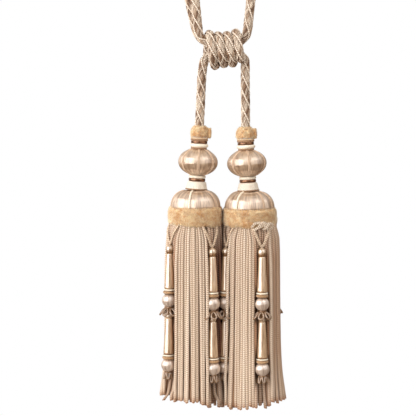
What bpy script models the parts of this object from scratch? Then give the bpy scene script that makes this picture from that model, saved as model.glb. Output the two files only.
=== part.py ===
"""Curtain tieback: two tassels hanging from a wrapped knot on a twisted rope loop.

The origin is the inside of the loop's top, where a hook holds it. X runs across, from the left
tassel to the right one, Y runs away from the room and Z is up. The tables are in millimetres.
"""
import math
import random

import bpy
import bmesh
from mathutils import Vector

MM = 0.001
SEAT = 0.3                 # gap left between two pieces that touch

# Rope
ROPE = 9.3                 # thickness of the twisted rope
ROPE_POINTS = 34           # points along one loop rope
DROP_POINTS = 8            # points along one drop rope

# Knot: four turns of the same rope round the ropes, about a level axis
KNOT_LEFT, KNOT_RIGHT = -18.0, 19.6
KNOT_LEFT_SLANT = 0.35     # below this height the first turn slants in under the knot
KNOT_SLANT_FROM = 4.0
KNOT_RIGHT_CURVE = 0.011   # the last turn bows out at half height
KNOT_BELOW = 138.0         # depth of the knot's axis below the hook
KNOT_TURNS = 4
KNOT_CROWN = 20.6          # radius over the crown of a turn
KNOT_VALLEY = 17.8         # radius between two turns
KNOT_SIDES = 20
KNOT_RINGS_PER_TURN = 4

# Tassel heads: a chain of turned moulds on one leaning axis
BALL = 19.8
BALL_HALF_HEIGHT = 13.9
BALL_SEAT = 7.5            # radius of the flats where the necks meet the ball
BALL_ABOVE = 28.2          # the ball's middle above the dome's top
COLLAR = 10.8
DOME = 25.0
DOME_HEIGHT = 16.2
DOME_FOOT = 20.4           # the hidden foot that the fringe is wound on
DOME_FOOT_HEIGHT = 15.0

# Big ruff and skirt
HEADING = 23.1             # outer radius of the fringe's heading
RUFF = 26.9
RUFF_TOP, RUFF_BOTTOM = -16.6, -33.6
RUFF_ROUNDING = 3.0        # height over which the pile turns in at either edge
RUFF_TUCK = 1.4            # how far it turns in
SKIRT_TEETH = 24
SLOT_SHARE = 0.09          # share of a tooth's pitch that its slot takes
SKIRT_WALL = 8.2           # two or three rows of cords
THIN_WALL = 5.6            # where a hanging mould pushes the cords in
MIDPLANE = 0.1             # where the two skirts press against each other

# Hanging moulds
HANGER_RADIUS = 28.0       # from the tassel's axis to a hanger's axis
HANGER_TOP = -54.4         # top of the bead below the dome's top
CORD = 2.4                 # thickness of a hanger's cord
CORD_SPREAD = 7.6          # half the width of the V that the cord makes under the ruff
CORD_BOW = 1.8             # how far the V's ends lie back, round the fringe
CORD_ROUNDING = 1.2        # half width of the V's foot
MOULD_SIDES = 8
GIMP_LOOPS = 6
GIMP_DRAWN_IN = 0.74       # share of the radius between two loops

TASSELS = (
    dict(name="left", across=-27.3, top=277.6, head_across=-26.6, lean=3.4, skirt_across=-28.2,
         hangers=(dict(angle=-59.0, drop=-1.5, lean=0.95), dict(angle=39.5, drop=0.8, lean=0.7),
                  dict(angle=133.0, drop=0.0, lean=1.0), dict(angle=-150.0, drop=-0.8, lean=1.0)),
         neighbour=dict(angle=69.0, depth=7.4, half_width=23.0)),
    dict(name="right", across=26.9, top=278.9, head_across=25.7, lean=-3.2, skirt_across=29.0,
         hangers=(dict(angle=-65.5, drop=0.2, lean=0.6), dict(angle=19.8, drop=-0.8, lean=0.7),
                  dict(angle=128.0, drop=0.6, lean=1.0), dict(angle=-155.0, drop=0.0, lean=1.0)),
         neighbour=None),
)

# Routes of the ropes' middle lines: across, below the hook, and away from the room
LOOP_FRONT = (
    (-22.2, 126.4, -4.6), (-23.4, 123.8, -4.9), (-24.3, 118.0, -5.0), (-25.3, 108.0, -5.0),
    (-27.5, 88.0, -5.0), (-31.7, 60.0, -5.0), (-34.6, 38.0, -5.0), (-34.6, 22.0, -5.0),
    (-28.0, 7.0, -5.0), (-15.5, -2.3, -5.0), (0.0, -4.9, -5.0), (15.5, -2.3, -5.0),
    (28.0, 7.0, -5.0), (34.3, 22.0, -5.0), (34.3, 38.0, -5.0), (31.8, 60.0, -5.0),
    (28.0, 88.0, -5.0), (25.6, 108.0, -5.0), (24.6, 116.0, -4.9), (23.2, 123.2, -4.6),
)
LOOP_BACK = (
    (-22.6, 125.8, 5.2), (-24.6, 122.4, 5.3), (-26.6, 118.0, 5.2), (-29.0, 108.0, 5.0),
    (-33.2, 88.0, 5.0), (-36.6, 60.0, 5.0), (-37.4, 38.0, 5.0), (-35.6, 22.0, 5.0),
    (-28.4, 6.6, 5.0), (-15.7, -2.4, 5.0), (0.0, -4.9, 5.0), (15.5, -2.3, 5.0),
    (27.7, 7.2, 5.0), (33.7, 22.0, 5.0), (33.8, 38.0, 5.0), (31.6, 60.0, 5.0),
    (28.0, 88.0, 5.0), (26.0, 108.0, 5.0), (25.2, 116.0, 5.2), (23.6, 123.2, 5.2),
)
DROP_LEFT = (
    (-17.8, 149.0, 0.6), (-19.0, 153.0, 0.4), (-20.2, 160.0, 0.2), (-21.0, 172.0, 0.0),
    (-21.9, 192.0, 0.0), (-23.0, 212.7, 0.0),
)
DROP_RIGHT = (
    (22.0, 149.0, 0.6), (22.3, 153.0, 0.4), (22.4, 160.0, 0.2), (22.4, 172.0, 0.0),
    (22.7, 192.0, 0.0), (22.8, 214.0, 0.0),
)

FINISHES = {
    "rope": ((0.62, 0.50, 0.38), 0.60),
    "satin": ((0.70, 0.54, 0.39), 0.30),
    "plush": ((0.66, 0.46, 0.24), 0.90),
    "fringe": ((0.72, 0.58, 0.43), 0.70),
    "cream": ((0.85, 0.77, 0.65), 0.60),
    "gimp": ((0.55, 0.42, 0.28), 0.35),
}


def empty_scene():
    """Remove what the scene holds and return a collection for the parts."""
    for obj in list(bpy.data.objects):
        bpy.data.objects.remove(obj, do_unlink=True)
    parts = bpy.data.collections.new("curtain_tieback")
    bpy.context.scene.collection.children.link(parts)
    return parts


def make_finish(name):
    """A plain material with the finish's colour and roughness."""
    colour, roughness = FINISHES[name]
    material = bpy.data.materials.new(name)
    material.use_nodes = True
    shader = material.node_tree.nodes["Principled BSDF"]
    shader.inputs["Base Color"].default_value = (*colour, 1.0)
    shader.inputs["Roughness"].default_value = roughness
    shader.inputs["Metallic"].default_value = 0.0
    material.diffuse_color = (*colour, 1.0)
    return material


PARTS = empty_scene()


def add_object(name, data, finish, parent=None):
    """Link a new object under its parent, with a material of its own."""
    obj = bpy.data.objects.new(name, data)
    PARTS.objects.link(obj)
    material = make_finish(finish)
    material.name = name + "_finish"
    data.materials.append(material)
    obj.parent = parent
    return obj


def add_empty(name, place, parent=None):
    """A frame that pieces hang from, placed in millimetres."""
    frame = bpy.data.objects.new(name, None)
    PARTS.objects.link(frame)
    frame.parent = parent
    frame.location = Vector(place) * MM
    return frame


def turned(name, profile, sides, finish, parent, ring=False):
    """A turned piece: (radius, height) pairs down its outer side, spun about its own Z."""
    mesh = bpy.data.meshes.new(name)
    points = [(radius * MM, 0.0, height * MM) for radius, height in profile]
    edges = [(i, i + 1) for i in range(len(points) - 1)]
    if ring:
        edges.append((len(points) - 1, 0))
    mesh.from_pydata(points, edges, [])
    obj = add_object(name, mesh, finish, parent)
    turn = obj.modifiers.new("Turn", "SCREW")
    turn.steps = sides
    turn.render_steps = sides
    turn.use_merge_vertices = True
    turn.merge_threshold = 0.00001
    turn.use_smooth_shade = True
    return obj


def smooth_route(route, count):
    """Read `count` evenly spaced points from a smooth curve through the route's points."""
    knots = [Vector((x, y, -below)) * MM for x, below, y in route]
    first = 2 * knots[0] - knots[1]
    last = 2 * knots[-1] - knots[-2]
    padded = [first] + knots + [last]
    fine = []
    for i in range(1, len(padded) - 2):
        before, start, end, after = padded[i - 1:i + 3]
        for step in range(12):
            t = step / 12
            fine.append(0.5 * (2 * start + (end - before) * t
                               + (2 * before - 5 * start + 4 * end - after) * t ** 2
                               + (3 * start - before - 3 * end + after) * t ** 3))
    fine.append(knots[-1])
    travelled = [0.0]
    for a, b in zip(fine, fine[1:]):
        travelled.append(travelled[-1] + (b - a).length)
    points = []
    segment = 0
    for k in range(count):
        want = travelled[-1] * k / (count - 1)
        while segment < len(fine) - 2 and travelled[segment + 1] < want:
            segment += 1
        share = (want - travelled[segment]) / (travelled[segment + 1] - travelled[segment])
        points.append(fine[segment].lerp(fine[segment + 1], share))
    return points


def tube(name, points, thickness, finish, parent=None):
    """A plain round cord along the points, with closed ends."""
    curve = bpy.data.curves.new(name, "CURVE")
    curve.dimensions = "3D"
    curve.bevel_depth = thickness / 2 * MM
    curve.bevel_resolution = 2
    curve.use_fill_caps = True
    spline = curve.splines.new("POLY")
    spline.points.add(len(points) - 1)
    for slot, point in zip(spline.points, points):
        slot.co = (*point, 1.0)
    return add_object(name, curve, finish, parent)


def make_knot():
    """The wound form of the knot: a barrel whose surface rises over each slanting turn."""
    rings = KNOT_TURNS * KNOT_RINGS_PER_TURN
    pitch = (KNOT_RIGHT - KNOT_LEFT) / KNOT_TURNS
    mesh = bpy.data.meshes.new("knot")
    form = bmesh.new()
    bmesh.ops.create_cone(form, cap_ends=True, segments=KNOT_SIDES, radius1=KNOT_VALLEY,
                          radius2=KNOT_VALLEY, depth=KNOT_RIGHT - KNOT_LEFT)
    for ring in range(1, rings):
        height = (ring / rings - 0.5) * (KNOT_RIGHT - KNOT_LEFT)
        everything = form.verts[:] + form.edges[:] + form.faces[:]
        bmesh.ops.bisect_plane(form, geom=everything, plane_co=(0, 0, height), plane_no=(0, 0, 1))
    swell = KNOT_CROWN - KNOT_VALLEY
    half = (KNOT_RIGHT - KNOT_LEFT) / 2
    for vert in form.verts:
        along = vert.co.z
        around = math.atan2(vert.co.y, vert.co.x)
        wave = 0.5 + 0.5 * math.cos(math.tau * along / pitch - around)
        ease = min(1.0, (half - abs(along)) / (pitch / KNOT_RINGS_PER_TURN))
        radius = KNOT_VALLEY + swell * wave * ease
        height = -radius * math.cos(around)
        left = KNOT_LEFT + KNOT_LEFT_SLANT * max(0.0, KNOT_SLANT_FROM - height)
        right = KNOT_RIGHT - KNOT_RIGHT_CURVE * height ** 2
        vert.co.x = (left + (right - left) * (along / (2 * half) + 0.5)) * MM
        vert.co.y = radius * math.sin(around) * MM
        vert.co.z = height * MM
    form.to_mesh(mesh)
    form.free()
    mesh.shade_smooth()
    knot = add_object("knot", mesh, "rope")
    knot.location = Vector((0.0, 0.0, -KNOT_BELOW)) * MM


def ball_profile():
    """Half of a flattened ball, cut level where the necks meet it."""
    steps = 9
    start = math.asin(BALL_SEAT / BALL)
    angles = [start + (math.pi - 2 * start) * i / steps for i in range(steps + 1)]
    side = [(BALL * math.sin(a), BALL_HALF_HEIGHT * math.cos(a)) for a in angles]
    return [(0.0, side[0][1])] + side + [(0.0, side[-1][1])]


def dome_profile():
    """Quarter-round shoulder down to the rim, then the narrow foot inside the fringe."""
    steps = 6
    shoulder = []
    for i in range(steps + 1):
        angle = math.radians(90) * i / steps
        radius = COLLAR + (DOME - COLLAR) * math.sin(angle)
        shoulder.append((radius, -DOME_HEIGHT * (1 - math.cos(angle))))
    foot = -DOME_HEIGHT - DOME_FOOT_HEIGHT
    return [(0.0, 0.0)] + shoulder + [(DOME_FOOT, -DOME_HEIGHT), (DOME_FOOT, foot), (0.0, foot)]


def ruff_profile():
    """A plush band: bulging outside, plain inside."""
    inner = HEADING + SEAT
    middle = (RUFF_TOP + RUFF_BOTTOM) / 2
    edge = RUFF - RUFF_TUCK
    return [(inner, RUFF_TOP), (edge, RUFF_TOP), (RUFF, RUFF_TOP - RUFF_ROUNDING),
            (RUFF, middle), (RUFF, RUFF_BOTTOM + RUFF_ROUNDING), (edge, RUFF_BOTTOM),
            (inner, RUFF_BOTTOM)]


TOP_RUFF_PROFILE = ((0.0, 64.6), (4.9, 64.6), (8.6, 63.4), (10.6, 60.0), (11.0, 56.0),
                    (10.0, 52.6), (0.0, 52.6))
UPPER_NECK_PROFILE = ((0.0, 52.3), (8.5, 52.3), (8.5, 50.0), (7.9, 49.4), (7.9, 46.6),
                      (8.7, 46.0), (8.7, 42.6), (7.6, 42.0), (0.0, 42.0))
LOWER_NECK_PROFILE = ((0.0, 14.4), (8.3, 14.4), (8.4, 13.0), (7.9, 12.4), (7.9, 9.4),
                      (8.5, 8.8), (9.2, 5.0), (10.8, 1.9), (10.6, 1.0), (0.0, 1.0))

# Hanger pieces: (radius, height below the bead's top)
UPPER_MOULD_PROFILE = ((0.0, 0.0), (2.2, 0.0), (4.1, -3.2), (4.1, -5.8), (2.9, -9.0),
                       (4.2, -9.2), (5.0, -43.2), (6.1, -44.2), (6.1, -47.2), (4.4, -49.2),
                       (6.6, -52.2), (7.0, -55.4), (6.0, -59.2), (3.4, -61.8), (0.0, -61.8))
PETALS_PROFILE = ((0.0, -62.1), (3.6, -62.1), (6.9, -66.6), (7.2, -69.4), (3.8, -72.8),
                  (0.0, -72.8))
LOWER_MOULD_PROFILE = ((0.0, -73.1), (3.9, -73.1), (5.0, -108.8), (6.1, -109.6), (6.1, -112.2),
                       (4.4, -114.2), (6.6, -117.2), (7.0, -120.2), (6.0, -124.0), (3.4, -126.4),
                       (0.0, -126.4))
END_LOOPS_PROFILE = ((0.0, -126.7), (3.4, -126.7), (4.9, -131.0), (4.6, -134.6), (0.0, -134.6))

# Skirt sections from the heading down: below the dome's top, outer radius, share of the recess
# for the hangers, and whether the teeth are apart there
SKIRT_SECTIONS = (
    dict(below=16.6, radius=HEADING, shift=0.0, recess=0.0, apart=False),
    dict(below=33.8, radius=HEADING, shift=0.0, recess=0.0, apart=False),
    dict(below=38.0, radius=27.2, shift=0.5, recess=0.8, apart=False),
    dict(below=48.0, radius=29.2, shift=1.0, recess=1.0, apart=True),
    dict(below=92.0, radius=29.6, shift=1.0, recess=1.0, apart=True),
    dict(below=150.0, radius=30.0, shift=1.0, recess=1.06, apart=True),
    dict(below=190.0, radius=31.0, shift=1.0, recess=1.12, apart=True),
    dict(below=209.6, radius=32.4, shift=1.0, recess=0.75, apart=True),
)
RECESS_DEPTH = 8.9
RECESS_HALF_WIDTH = 24.0
END_SPREAD = 4.5           # how unevenly the fringe is cut


def recess_at(angle, tassel):
    """How deep the fringe is pushed in at this angle, by the hangers and the other tassel."""
    dents = [dict(angle=row["angle"], depth=RECESS_DEPTH, half_width=RECESS_HALF_WIDTH)
             for row in tassel["hangers"]]
    if tassel["neighbour"]:
        dents.append(tassel["neighbour"])
    deepest = 0.0
    for dent in dents:
        apart = abs((angle - dent["angle"] + 180.0) % 360.0 - 180.0) / dent["half_width"]
        deepest = max(deepest, dent["depth"] * (1.0 - apart ** 2))
    return deepest


def skirt_point(tassel, angle, section, inner, lower):
    """A corner of a tooth, in the tassel's frame, in metres."""
    dent = recess_at(angle, tassel) * section["recess"]
    radius = section["radius"] - dent
    if inner:
        radius = min(radius - THIN_WALL, section["radius"] - SKIRT_WALL)
        if not section["recess"]:
            radius = DOME_FOOT + SEAT
    shift = (tassel["skirt_across"] - tassel["across"]) * (section["shift"] - 1.0)
    x = radius * math.sin(math.radians(angle)) + shift
    y = -radius * math.cos(math.radians(angle))
    inward = 1.0 if tassel["name"] == "left" else -1.0
    limit = abs(tassel["skirt_across"] - MIDPLANE) - SEAT / 2
    if inner:
        limit -= SKIRT_WALL
    if section["recess"] and x * inward > limit:
        x = limit * inward
    return Vector((x, y, -section["below"] - lower)) * MM


def make_skirt(tassel, parent):
    """The fringe: a heading ring that turns into a comb of separate teeth."""
    name = tassel["name"] + "_skirt"
    uneven = random.Random(name)
    pitch = 360.0 / SKIRT_TEETH
    half = pitch * (1.0 - SLOT_SHARE) / 2
    form = bmesh.new()
    teeth = []
    for tooth in range(SKIRT_TEETH):
        middle = pitch * (tooth + 0.5)
        cut = uneven.uniform(-0.5, 0.5) * END_SPREAD
        rows = []
        for section in SKIRT_SECTIONS:
            lower = cut if section is SKIRT_SECTIONS[-1] else 0.0
            rows.append([form.verts.new(skirt_point(tassel, middle + turn, section, inner, lower))
                         for turn, inner in ((-half, False), (half, False),
                                             (half, True), (-half, True))])
        teeth.append(rows)

    def face(*corners):
        form.faces.new(corners)

    for tooth, rows in enumerate(teeth):
        following = teeth[(tooth + 1) % SKIRT_TEETH]
        for level, (upper, lower) in enumerate(zip(rows, rows[1:])):
            section, below = SKIRT_SECTIONS[level], SKIRT_SECTIONS[level + 1]
            next_upper, next_lower = following[level], following[level + 1]
            face(upper[0], lower[0], lower[1], upper[1])
            face(upper[2], lower[2], lower[3], upper[3])
            if below["apart"]:
                face(upper[1], lower[1], lower[2], upper[2])
                face(next_upper[3], next_lower[3], next_lower[0], next_upper[0])
                if not section["apart"]:
                    face(upper[1], upper[2], next_upper[3], next_upper[0])
            else:
                face(upper[1], lower[1], next_lower[0], next_upper[0])
                face(next_upper[3], next_lower[3], lower[2], upper[2])
        top, bottom = rows[0], rows[-1]
        face(top[0], top[1], top[2], top[3])
        face(top[1], following[0][0], following[0][3], top[2])
        face(bottom[3], bottom[2], bottom[1], bottom[0])
    bmesh.ops.recalc_face_normals(form, faces=form.faces[:])
    mesh = bpy.data.meshes.new(name)
    form.to_mesh(mesh)
    form.free()
    mesh.shade_smooth()
    mesh.set_sharp_from_angle(angle=math.radians(40))
    add_object(name, mesh, "fringe", parent)


def petal_form(name, profile, parent):
    """A ring of gimp loops: a turned form whose sides are drawn in between the loops."""
    corners = GIMP_LOOPS * 2
    mesh = bpy.data.meshes.new(name)
    form = bmesh.new()
    crowns = []
    for radius, height in profile[1:-1]:
        ring = []
        for i in range(corners):
            reach = radius if i % 2 == 0 else radius * GIMP_DRAWN_IN
            angle = math.tau * i / corners
            corner = Vector((reach * math.cos(angle), reach * math.sin(angle), height))
            ring.append(form.verts.new(corner * MM))
        crowns.append(ring)
    for upper, lower in zip(crowns, crowns[1:]):
        for i in range(corners):
            j = (i + 1) % corners
            form.faces.new((upper[i], lower[i], lower[j], upper[j]))
    form.faces.new(crowns[0])
    form.faces.new(list(reversed(crowns[-1])))
    bmesh.ops.recalc_face_normals(form, faces=form.faces[:])
    form.to_mesh(mesh)
    form.free()
    add_object(name, mesh, "gimp", parent)


def make_hanger(tassel, number, row, parent):
    """One hanging string of moulds, built about its own upright axis."""
    name = "{}_hanger_{}".format(tassel["name"], number)
    angle = math.radians(row["angle"])
    top = HANGER_TOP - row["drop"]
    frame = add_empty(name, (HANGER_RADIUS * math.sin(angle), -HANGER_RADIUS * math.cos(angle),
                             top), parent)
    frame.rotation_euler = (math.radians(-row["lean"]), 0.0, angle)
    turned(name + "_upper_mould", UPPER_MOULD_PROFILE, MOULD_SIDES, "satin", frame)
    petal_form(name + "_petals", PETALS_PROFILE, frame)
    turned(name + "_lower_mould", LOWER_MOULD_PROFILE, MOULD_SIDES, "satin", frame)
    petal_form(name + "_end_loops", END_LOOPS_PROFILE, frame)
    rise = RUFF_BOTTOM - 2 * SEAT - CORD / 2 - top
    foot = CORD / 2 + SEAT
    leg = ((CORD_SPREAD, CORD_BOW, rise), (CORD_SPREAD / 2, CORD_BOW / 4, rise / 2),
           (CORD_ROUNDING, 0.0, foot + CORD_ROUNDING))
    bend = [(-x, y, z) for x, y, z in leg] + [(0.0, 0.0, foot)] + list(reversed(leg))
    tube(name + "_cords", [Vector(point) * MM for point in bend], CORD, "fringe", frame)


def make_tassel(tassel):
    """Head, ruff, skirt and hangers of one tassel."""
    side = tassel["name"] + "_"
    head = add_empty(side + "head", (tassel["head_across"], 0.0, -tassel["top"]))
    head.rotation_euler = (0.0, math.radians(tassel["lean"]), 0.0)
    turned(side + "top_ruff", TOP_RUFF_PROFILE, 16, "plush", head)
    turned(side + "upper_neck", UPPER_NECK_PROFILE, 12, "satin", head)
    ball = turned(side + "ball", ball_profile(), 20, "satin", head)
    ball.location = (0.0, 0.0, BALL_ABOVE * MM)
    turned(side + "lower_neck", LOWER_NECK_PROFILE, 14, "cream", head)

    base = add_empty(side + "base", (tassel["across"], 0.0, -tassel["top"]))
    turned(side + "dome", dome_profile(), 20, "satin", base)
    turned(side + "ruff", ruff_profile(), 24, "plush", base, ring=True)

    skirt = add_empty(side + "fringe", (tassel["skirt_across"], 0.0, -tassel["top"]))
    make_skirt(tassel, skirt)
    for number, row in enumerate(tassel["hangers"], start=1):
        make_hanger(tassel, number, row, skirt)


tube("loop_front", smooth_route(LOOP_FRONT, ROPE_POINTS), ROPE, "rope")
tube("loop_back", smooth_route(LOOP_BACK, ROPE_POINTS), ROPE, "rope")
tube("drop_left", smooth_route(DROP_LEFT, DROP_POINTS), ROPE, "rope")
tube("drop_right", smooth_route(DROP_RIGHT, DROP_POINTS), ROPE, "rope")
make_knot()
for row in TASSELS:
    make_tassel(row)
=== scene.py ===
# %% [markdown]
# # A curtain tieback with two tassels
# A tieback of this kind is an embrace of twisted rope that goes round a curtain and over a hook.
# Its two rope ends are wound into a knot, and each carries a tassel: a turned wooden head wrapped
# in floss silk, ruffs of cut plush, a skirt of chainette fringe, and small silk-wrapped moulds
# that hang in front of the fringe. This file builds the looks round the plain solids of the frame.

# %% Load the frame
import math
import random

import bpy
import numpy as np
from mathutils import Matrix, Vector, noise


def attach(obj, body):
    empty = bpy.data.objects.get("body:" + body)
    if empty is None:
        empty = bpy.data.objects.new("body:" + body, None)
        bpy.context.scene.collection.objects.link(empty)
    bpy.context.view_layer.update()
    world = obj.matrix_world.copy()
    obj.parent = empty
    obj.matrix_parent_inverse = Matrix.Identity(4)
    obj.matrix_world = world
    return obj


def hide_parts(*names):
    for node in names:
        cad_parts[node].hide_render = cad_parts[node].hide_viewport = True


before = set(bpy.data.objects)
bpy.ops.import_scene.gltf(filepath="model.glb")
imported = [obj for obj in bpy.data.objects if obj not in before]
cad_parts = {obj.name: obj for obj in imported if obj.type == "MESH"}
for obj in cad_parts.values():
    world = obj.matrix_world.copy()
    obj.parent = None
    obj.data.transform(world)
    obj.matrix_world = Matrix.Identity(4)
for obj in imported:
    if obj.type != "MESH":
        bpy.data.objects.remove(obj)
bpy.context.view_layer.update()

MM = 0.001
print("frame:", len(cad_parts), "nodes")

# %% [markdown]
# ## Small helpers
# An operator in Blender acts on whatever is selected, so every step first says what that is. A
# finished piece rides on the frame's one body and stands for plain solids.


# %% Select, join and hand over a piece
def select_only(*objects):
    """Leave just these objects selected, the first one active."""
    bpy.ops.object.select_all(action="DESELECT")
    for obj in objects:
        obj.select_set(True)
    bpy.context.view_layer.objects.active = objects[0]


def new_object(name, data):
    obj = bpy.data.objects.new(name, data)
    bpy.context.scene.collection.objects.link(obj)
    return obj


def join(name, pieces):
    """Make one object of several meshes."""
    select_only(*pieces)
    if len(pieces) > 1:
        bpy.ops.object.join()
    joined = bpy.context.view_layer.objects.active
    joined.name = name
    joined.data.name = name
    return joined


def face_outwards(merge_within=0.0):
    """From edit mode: merge corners that meet, turn every face outwards, and leave edit mode."""
    bpy.ops.mesh.select_all(action="SELECT")
    if merge_within:
        bpy.ops.mesh.remove_doubles(threshold=merge_within)
    bpy.ops.mesh.normals_make_consistent(inside=False)
    bpy.ops.object.mode_set(mode="OBJECT")


def triangles(obj):
    return sum(len(face.vertices) - 2 for face in obj.data.polygons)


def hand_over(piece, slot, *nodes):
    """The piece rides on the body and stands for these solids; slot is not used."""
    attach(piece, "root")
    if nodes:
        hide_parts(*nodes)
    print(piece.name, triangles(piece), "triangles")
    return piece


# %% [markdown]
# ## Camera
# The photograph looks along +Y from 1.4 m away, level with the ropes just under the knot and
# tipped slightly down, so the frame is filled from the rope above the knot to the fringe's ends.

# %% Place the camera
CAMERA_PLACE = Vector((-0.0145, -1.403, -0.182))
CAMERA_AIM = Vector((-0.0145, 0.0, -0.2954))
SENSOR = 36.0
FRAME_PIXELS = 416
FOCAL_PIXELS = 1412.0

select_only(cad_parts["knot"])
bpy.ops.object.camera_add(location=CAMERA_PLACE)
camera = bpy.context.object
camera.name = "photo_camera"
camera.rotation_euler = (CAMERA_AIM - CAMERA_PLACE).to_track_quat("-Z", "Y").to_euler()
camera.data.sensor_width = SENSOR
camera.data.lens = SENSOR * FOCAL_PIXELS / FRAME_PIXELS
camera.data.clip_start = 0.05
camera.data.clip_end = 20.0
bpy.context.scene.camera = camera
print("camera lens", round(camera.data.lens, 1), "mm")

# %% [markdown]
# ## Node trees
# Each finish, and the sky, is a small tree of nodes, so a few helpers add and link them. Most
# finishes read a UV map that is written in real units. On a cord, U counts millimetres along it
# and V counts threads round it, so the same finish fits a rope and a hanging string. On a turned
# piece, U counts once round and V is the height in millimetres. Colours are given as they look on
# a screen, from 0 to 255.


# %% Helpers for node trees
def tone(red, green, blue):
    """A colour as seen on screen, turned into the linear value that a shader takes."""
    linear = [((c / 255 + 0.055) / 1.055) ** 2.4 if c > 10 else c / 255 / 12.92
              for c in (red, green, blue)]
    return (*linear, 1.0)


WHITE = tone(255, 255, 255)


def node(tree, kind, inputs=None, **settings):
    """Add a shader node, set it up, and link or fill its inputs."""
    made = tree.nodes.new("ShaderNode" + kind)
    for key, value in settings.items():
        setattr(made, key, value)
    for key, value in (inputs or {}).items():
        if isinstance(value, bpy.types.NodeSocket):
            tree.links.new(value, made.inputs[key])
        else:
            made.inputs[key].default_value = value
    return made


def maths(tree, operation, first, second=0.0, third=0.0):
    return node(tree, "Math", {0: first, 1: second, 2: third}, operation=operation).outputs[0]


def ramp(tree, factor, stops, interpolation="LINEAR"):
    """A colour ramp through (place, colour) stops."""
    made = node(tree, "ValToRGB", {"Fac": factor})
    made.color_ramp.interpolation = interpolation
    marks = made.color_ramp.elements
    while len(marks) < len(stops):
        marks.new(0.5)
    for mark, (place, colour) in zip(marks, stops):
        mark.position = place
        mark.color = colour
    return made.outputs["Color"]


def mix(tree, factor, first, second, blend="MIX"):
    """Blend two colours."""
    made = node(tree, "MixRGB", {"Fac": factor, "Color1": first, "Color2": second},
                blend_type=blend)
    return made.outputs["Color"]


def start_finish(name, **constants):
    """A new material, with its constant values set on the shader's own sockets."""
    material = bpy.data.materials.new(name)
    material.use_nodes = True
    tree = material.node_tree
    shader = tree.nodes["Principled BSDF"]
    for key, value in constants.items():
        shader.inputs[key.replace("_", " ")].default_value = value
    return material, tree, shader


def bump(tree, shader, height, distance, strength=1.0):
    """Let a height in the node tree tilt the surface. The distance is in millimetres."""
    made = node(tree, "Bump", {"Height": height, "Distance": distance * MM, "Strength": strength})
    tree.links.new(made.outputs["Normal"], shader.inputs["Normal"])


def map_parts(tree):
    """The UV map's two numbers, as outputs X and Y."""
    return node(tree, "SeparateXYZ", {0: node(tree, "UVMap").outputs["UV"]})


# %% [markdown]
# ## Light
# Satin shows the light that it reflects, so the lamps matter as much as the silk. One large soft
# box stands to the left of the camera and draws the white band on each ball and the white stripe
# on each spindle. A dimmer one on the right draws the second stripe, and the gap between the two
# stays dark. A small one high on the right lights the shoulders, and one behind on the left keeps
# the far side alive. The background is plain white to the camera, but it lights the object as a
# dimmer sky that is brown below, because the foot of each silk form is dark in the photograph.
# For the same reason the silk doesn't reflect the pale floor, which lies a metre below the hook,
# since a tieback hangs about that high.

# %% Soft boxes, background and floor
LIGHT_TARGET = Vector((0.0, 0.0, -0.25))
SOFT_BOXES = (
    dict(name="key_box", turn=-54.0, height=16.0, away=1.6, wide=2.4, tall=1.9, power=46.0),
    dict(name="fill_box", turn=51.0, height=22.0, away=1.6, wide=1.8, tall=1.6, power=8.4),
    dict(name="top_box", turn=50.0, height=50.0, away=1.6, wide=0.8, tall=0.8, power=3.4),
    dict(name="rim_box", turn=-128.0, height=8.0, away=1.6, wide=1.0, tall=1.6, power=3.0),
)
SKY_BELOW = tone(104, 78, 58)
SKY_LEVEL = tone(134, 121, 109)
SKY_ABOVE = tone(226, 222, 216)
FLOOR_BELOW = 1.0
FLOOR_RADIUS = 1.1
FLOOR_THICKNESS = 0.02

for box in SOFT_BOXES:
    turn = math.radians(box["turn"])
    height = math.radians(box["height"])
    away = Vector((math.sin(turn) * math.cos(height), -math.cos(turn) * math.cos(height),
                   math.sin(height)))
    bpy.ops.object.light_add(type="AREA", location=LIGHT_TARGET + away * box["away"])
    lamp = bpy.context.object
    lamp.name = box["name"]
    lamp.data.shape = "RECTANGLE"
    lamp.data.size = box["wide"]
    lamp.data.size_y = box["tall"]
    lamp.data.energy = box["power"]
    lamp.rotation_euler = (-away).to_track_quat("-Z", "Y").to_euler()

world = bpy.data.worlds.new("studio")
bpy.context.scene.world = world
world.use_nodes = True
sky = world.node_tree
sky.nodes.clear()
toward = node(sky, "SeparateXYZ", {0: node(sky, "TexCoord").outputs["Generated"]})
rise = maths(sky, "MULTIPLY_ADD", toward.outputs["Z"], 0.5, 0.5)
gradient = ramp(sky, rise, ((0.42, SKY_BELOW), (0.6, SKY_LEVEL), (0.9, SKY_ABOVE)))
dim = node(sky, "Background", {"Color": gradient})
paper = node(sky, "Background", {"Color": WHITE})
either = node(sky, "MixShader", {"Fac": node(sky, "LightPath").outputs["Is Camera Ray"],
                                 1: dim.outputs[0], 2: paper.outputs[0]})
node(sky, "OutputWorld", {"Surface": either.outputs[0]})

bpy.ops.object.select_all(action="DESELECT")
bpy.ops.mesh.primitive_circle_add(vertices=128, radius=FLOOR_RADIUS, fill_type="NGON",
                                  location=(0.0, 0.0, -FLOOR_BELOW))
floor = bpy.context.object
floor.name = "studio_floor"
floor.visible_glossy = False
bpy.ops.object.transform_apply(location=True, rotation=False, scale=False)
bpy.ops.object.mode_set(mode="EDIT")
bpy.ops.mesh.extrude_region_move(TRANSFORM_OT_translate={"value": (0, 0, -FLOOR_THICKNESS)})
face_outwards()
plaster, tree, shader = start_finish("pale_floor", Roughness=0.7)
grain = node(tree, "TexNoise", {"Vector": node(tree, "TexCoord").outputs["Object"],
                                "Scale": 40.0, "Detail": 4.0}).outputs["Fac"]
tree.links.new(ramp(tree, grain, ((0.3, tone(232, 229, 224)), (0.7, tone(244, 242, 239)))),
               shader.inputs["Base Color"])
bump(tree, shader, grain, 0.3)
floor.data.materials.append(plaster)

bpy.context.scene.view_settings.view_transform = "Standard"
bpy.context.scene.view_settings.look = "None"
print("soft boxes:", [box["name"] for box in SOFT_BOXES])
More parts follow.
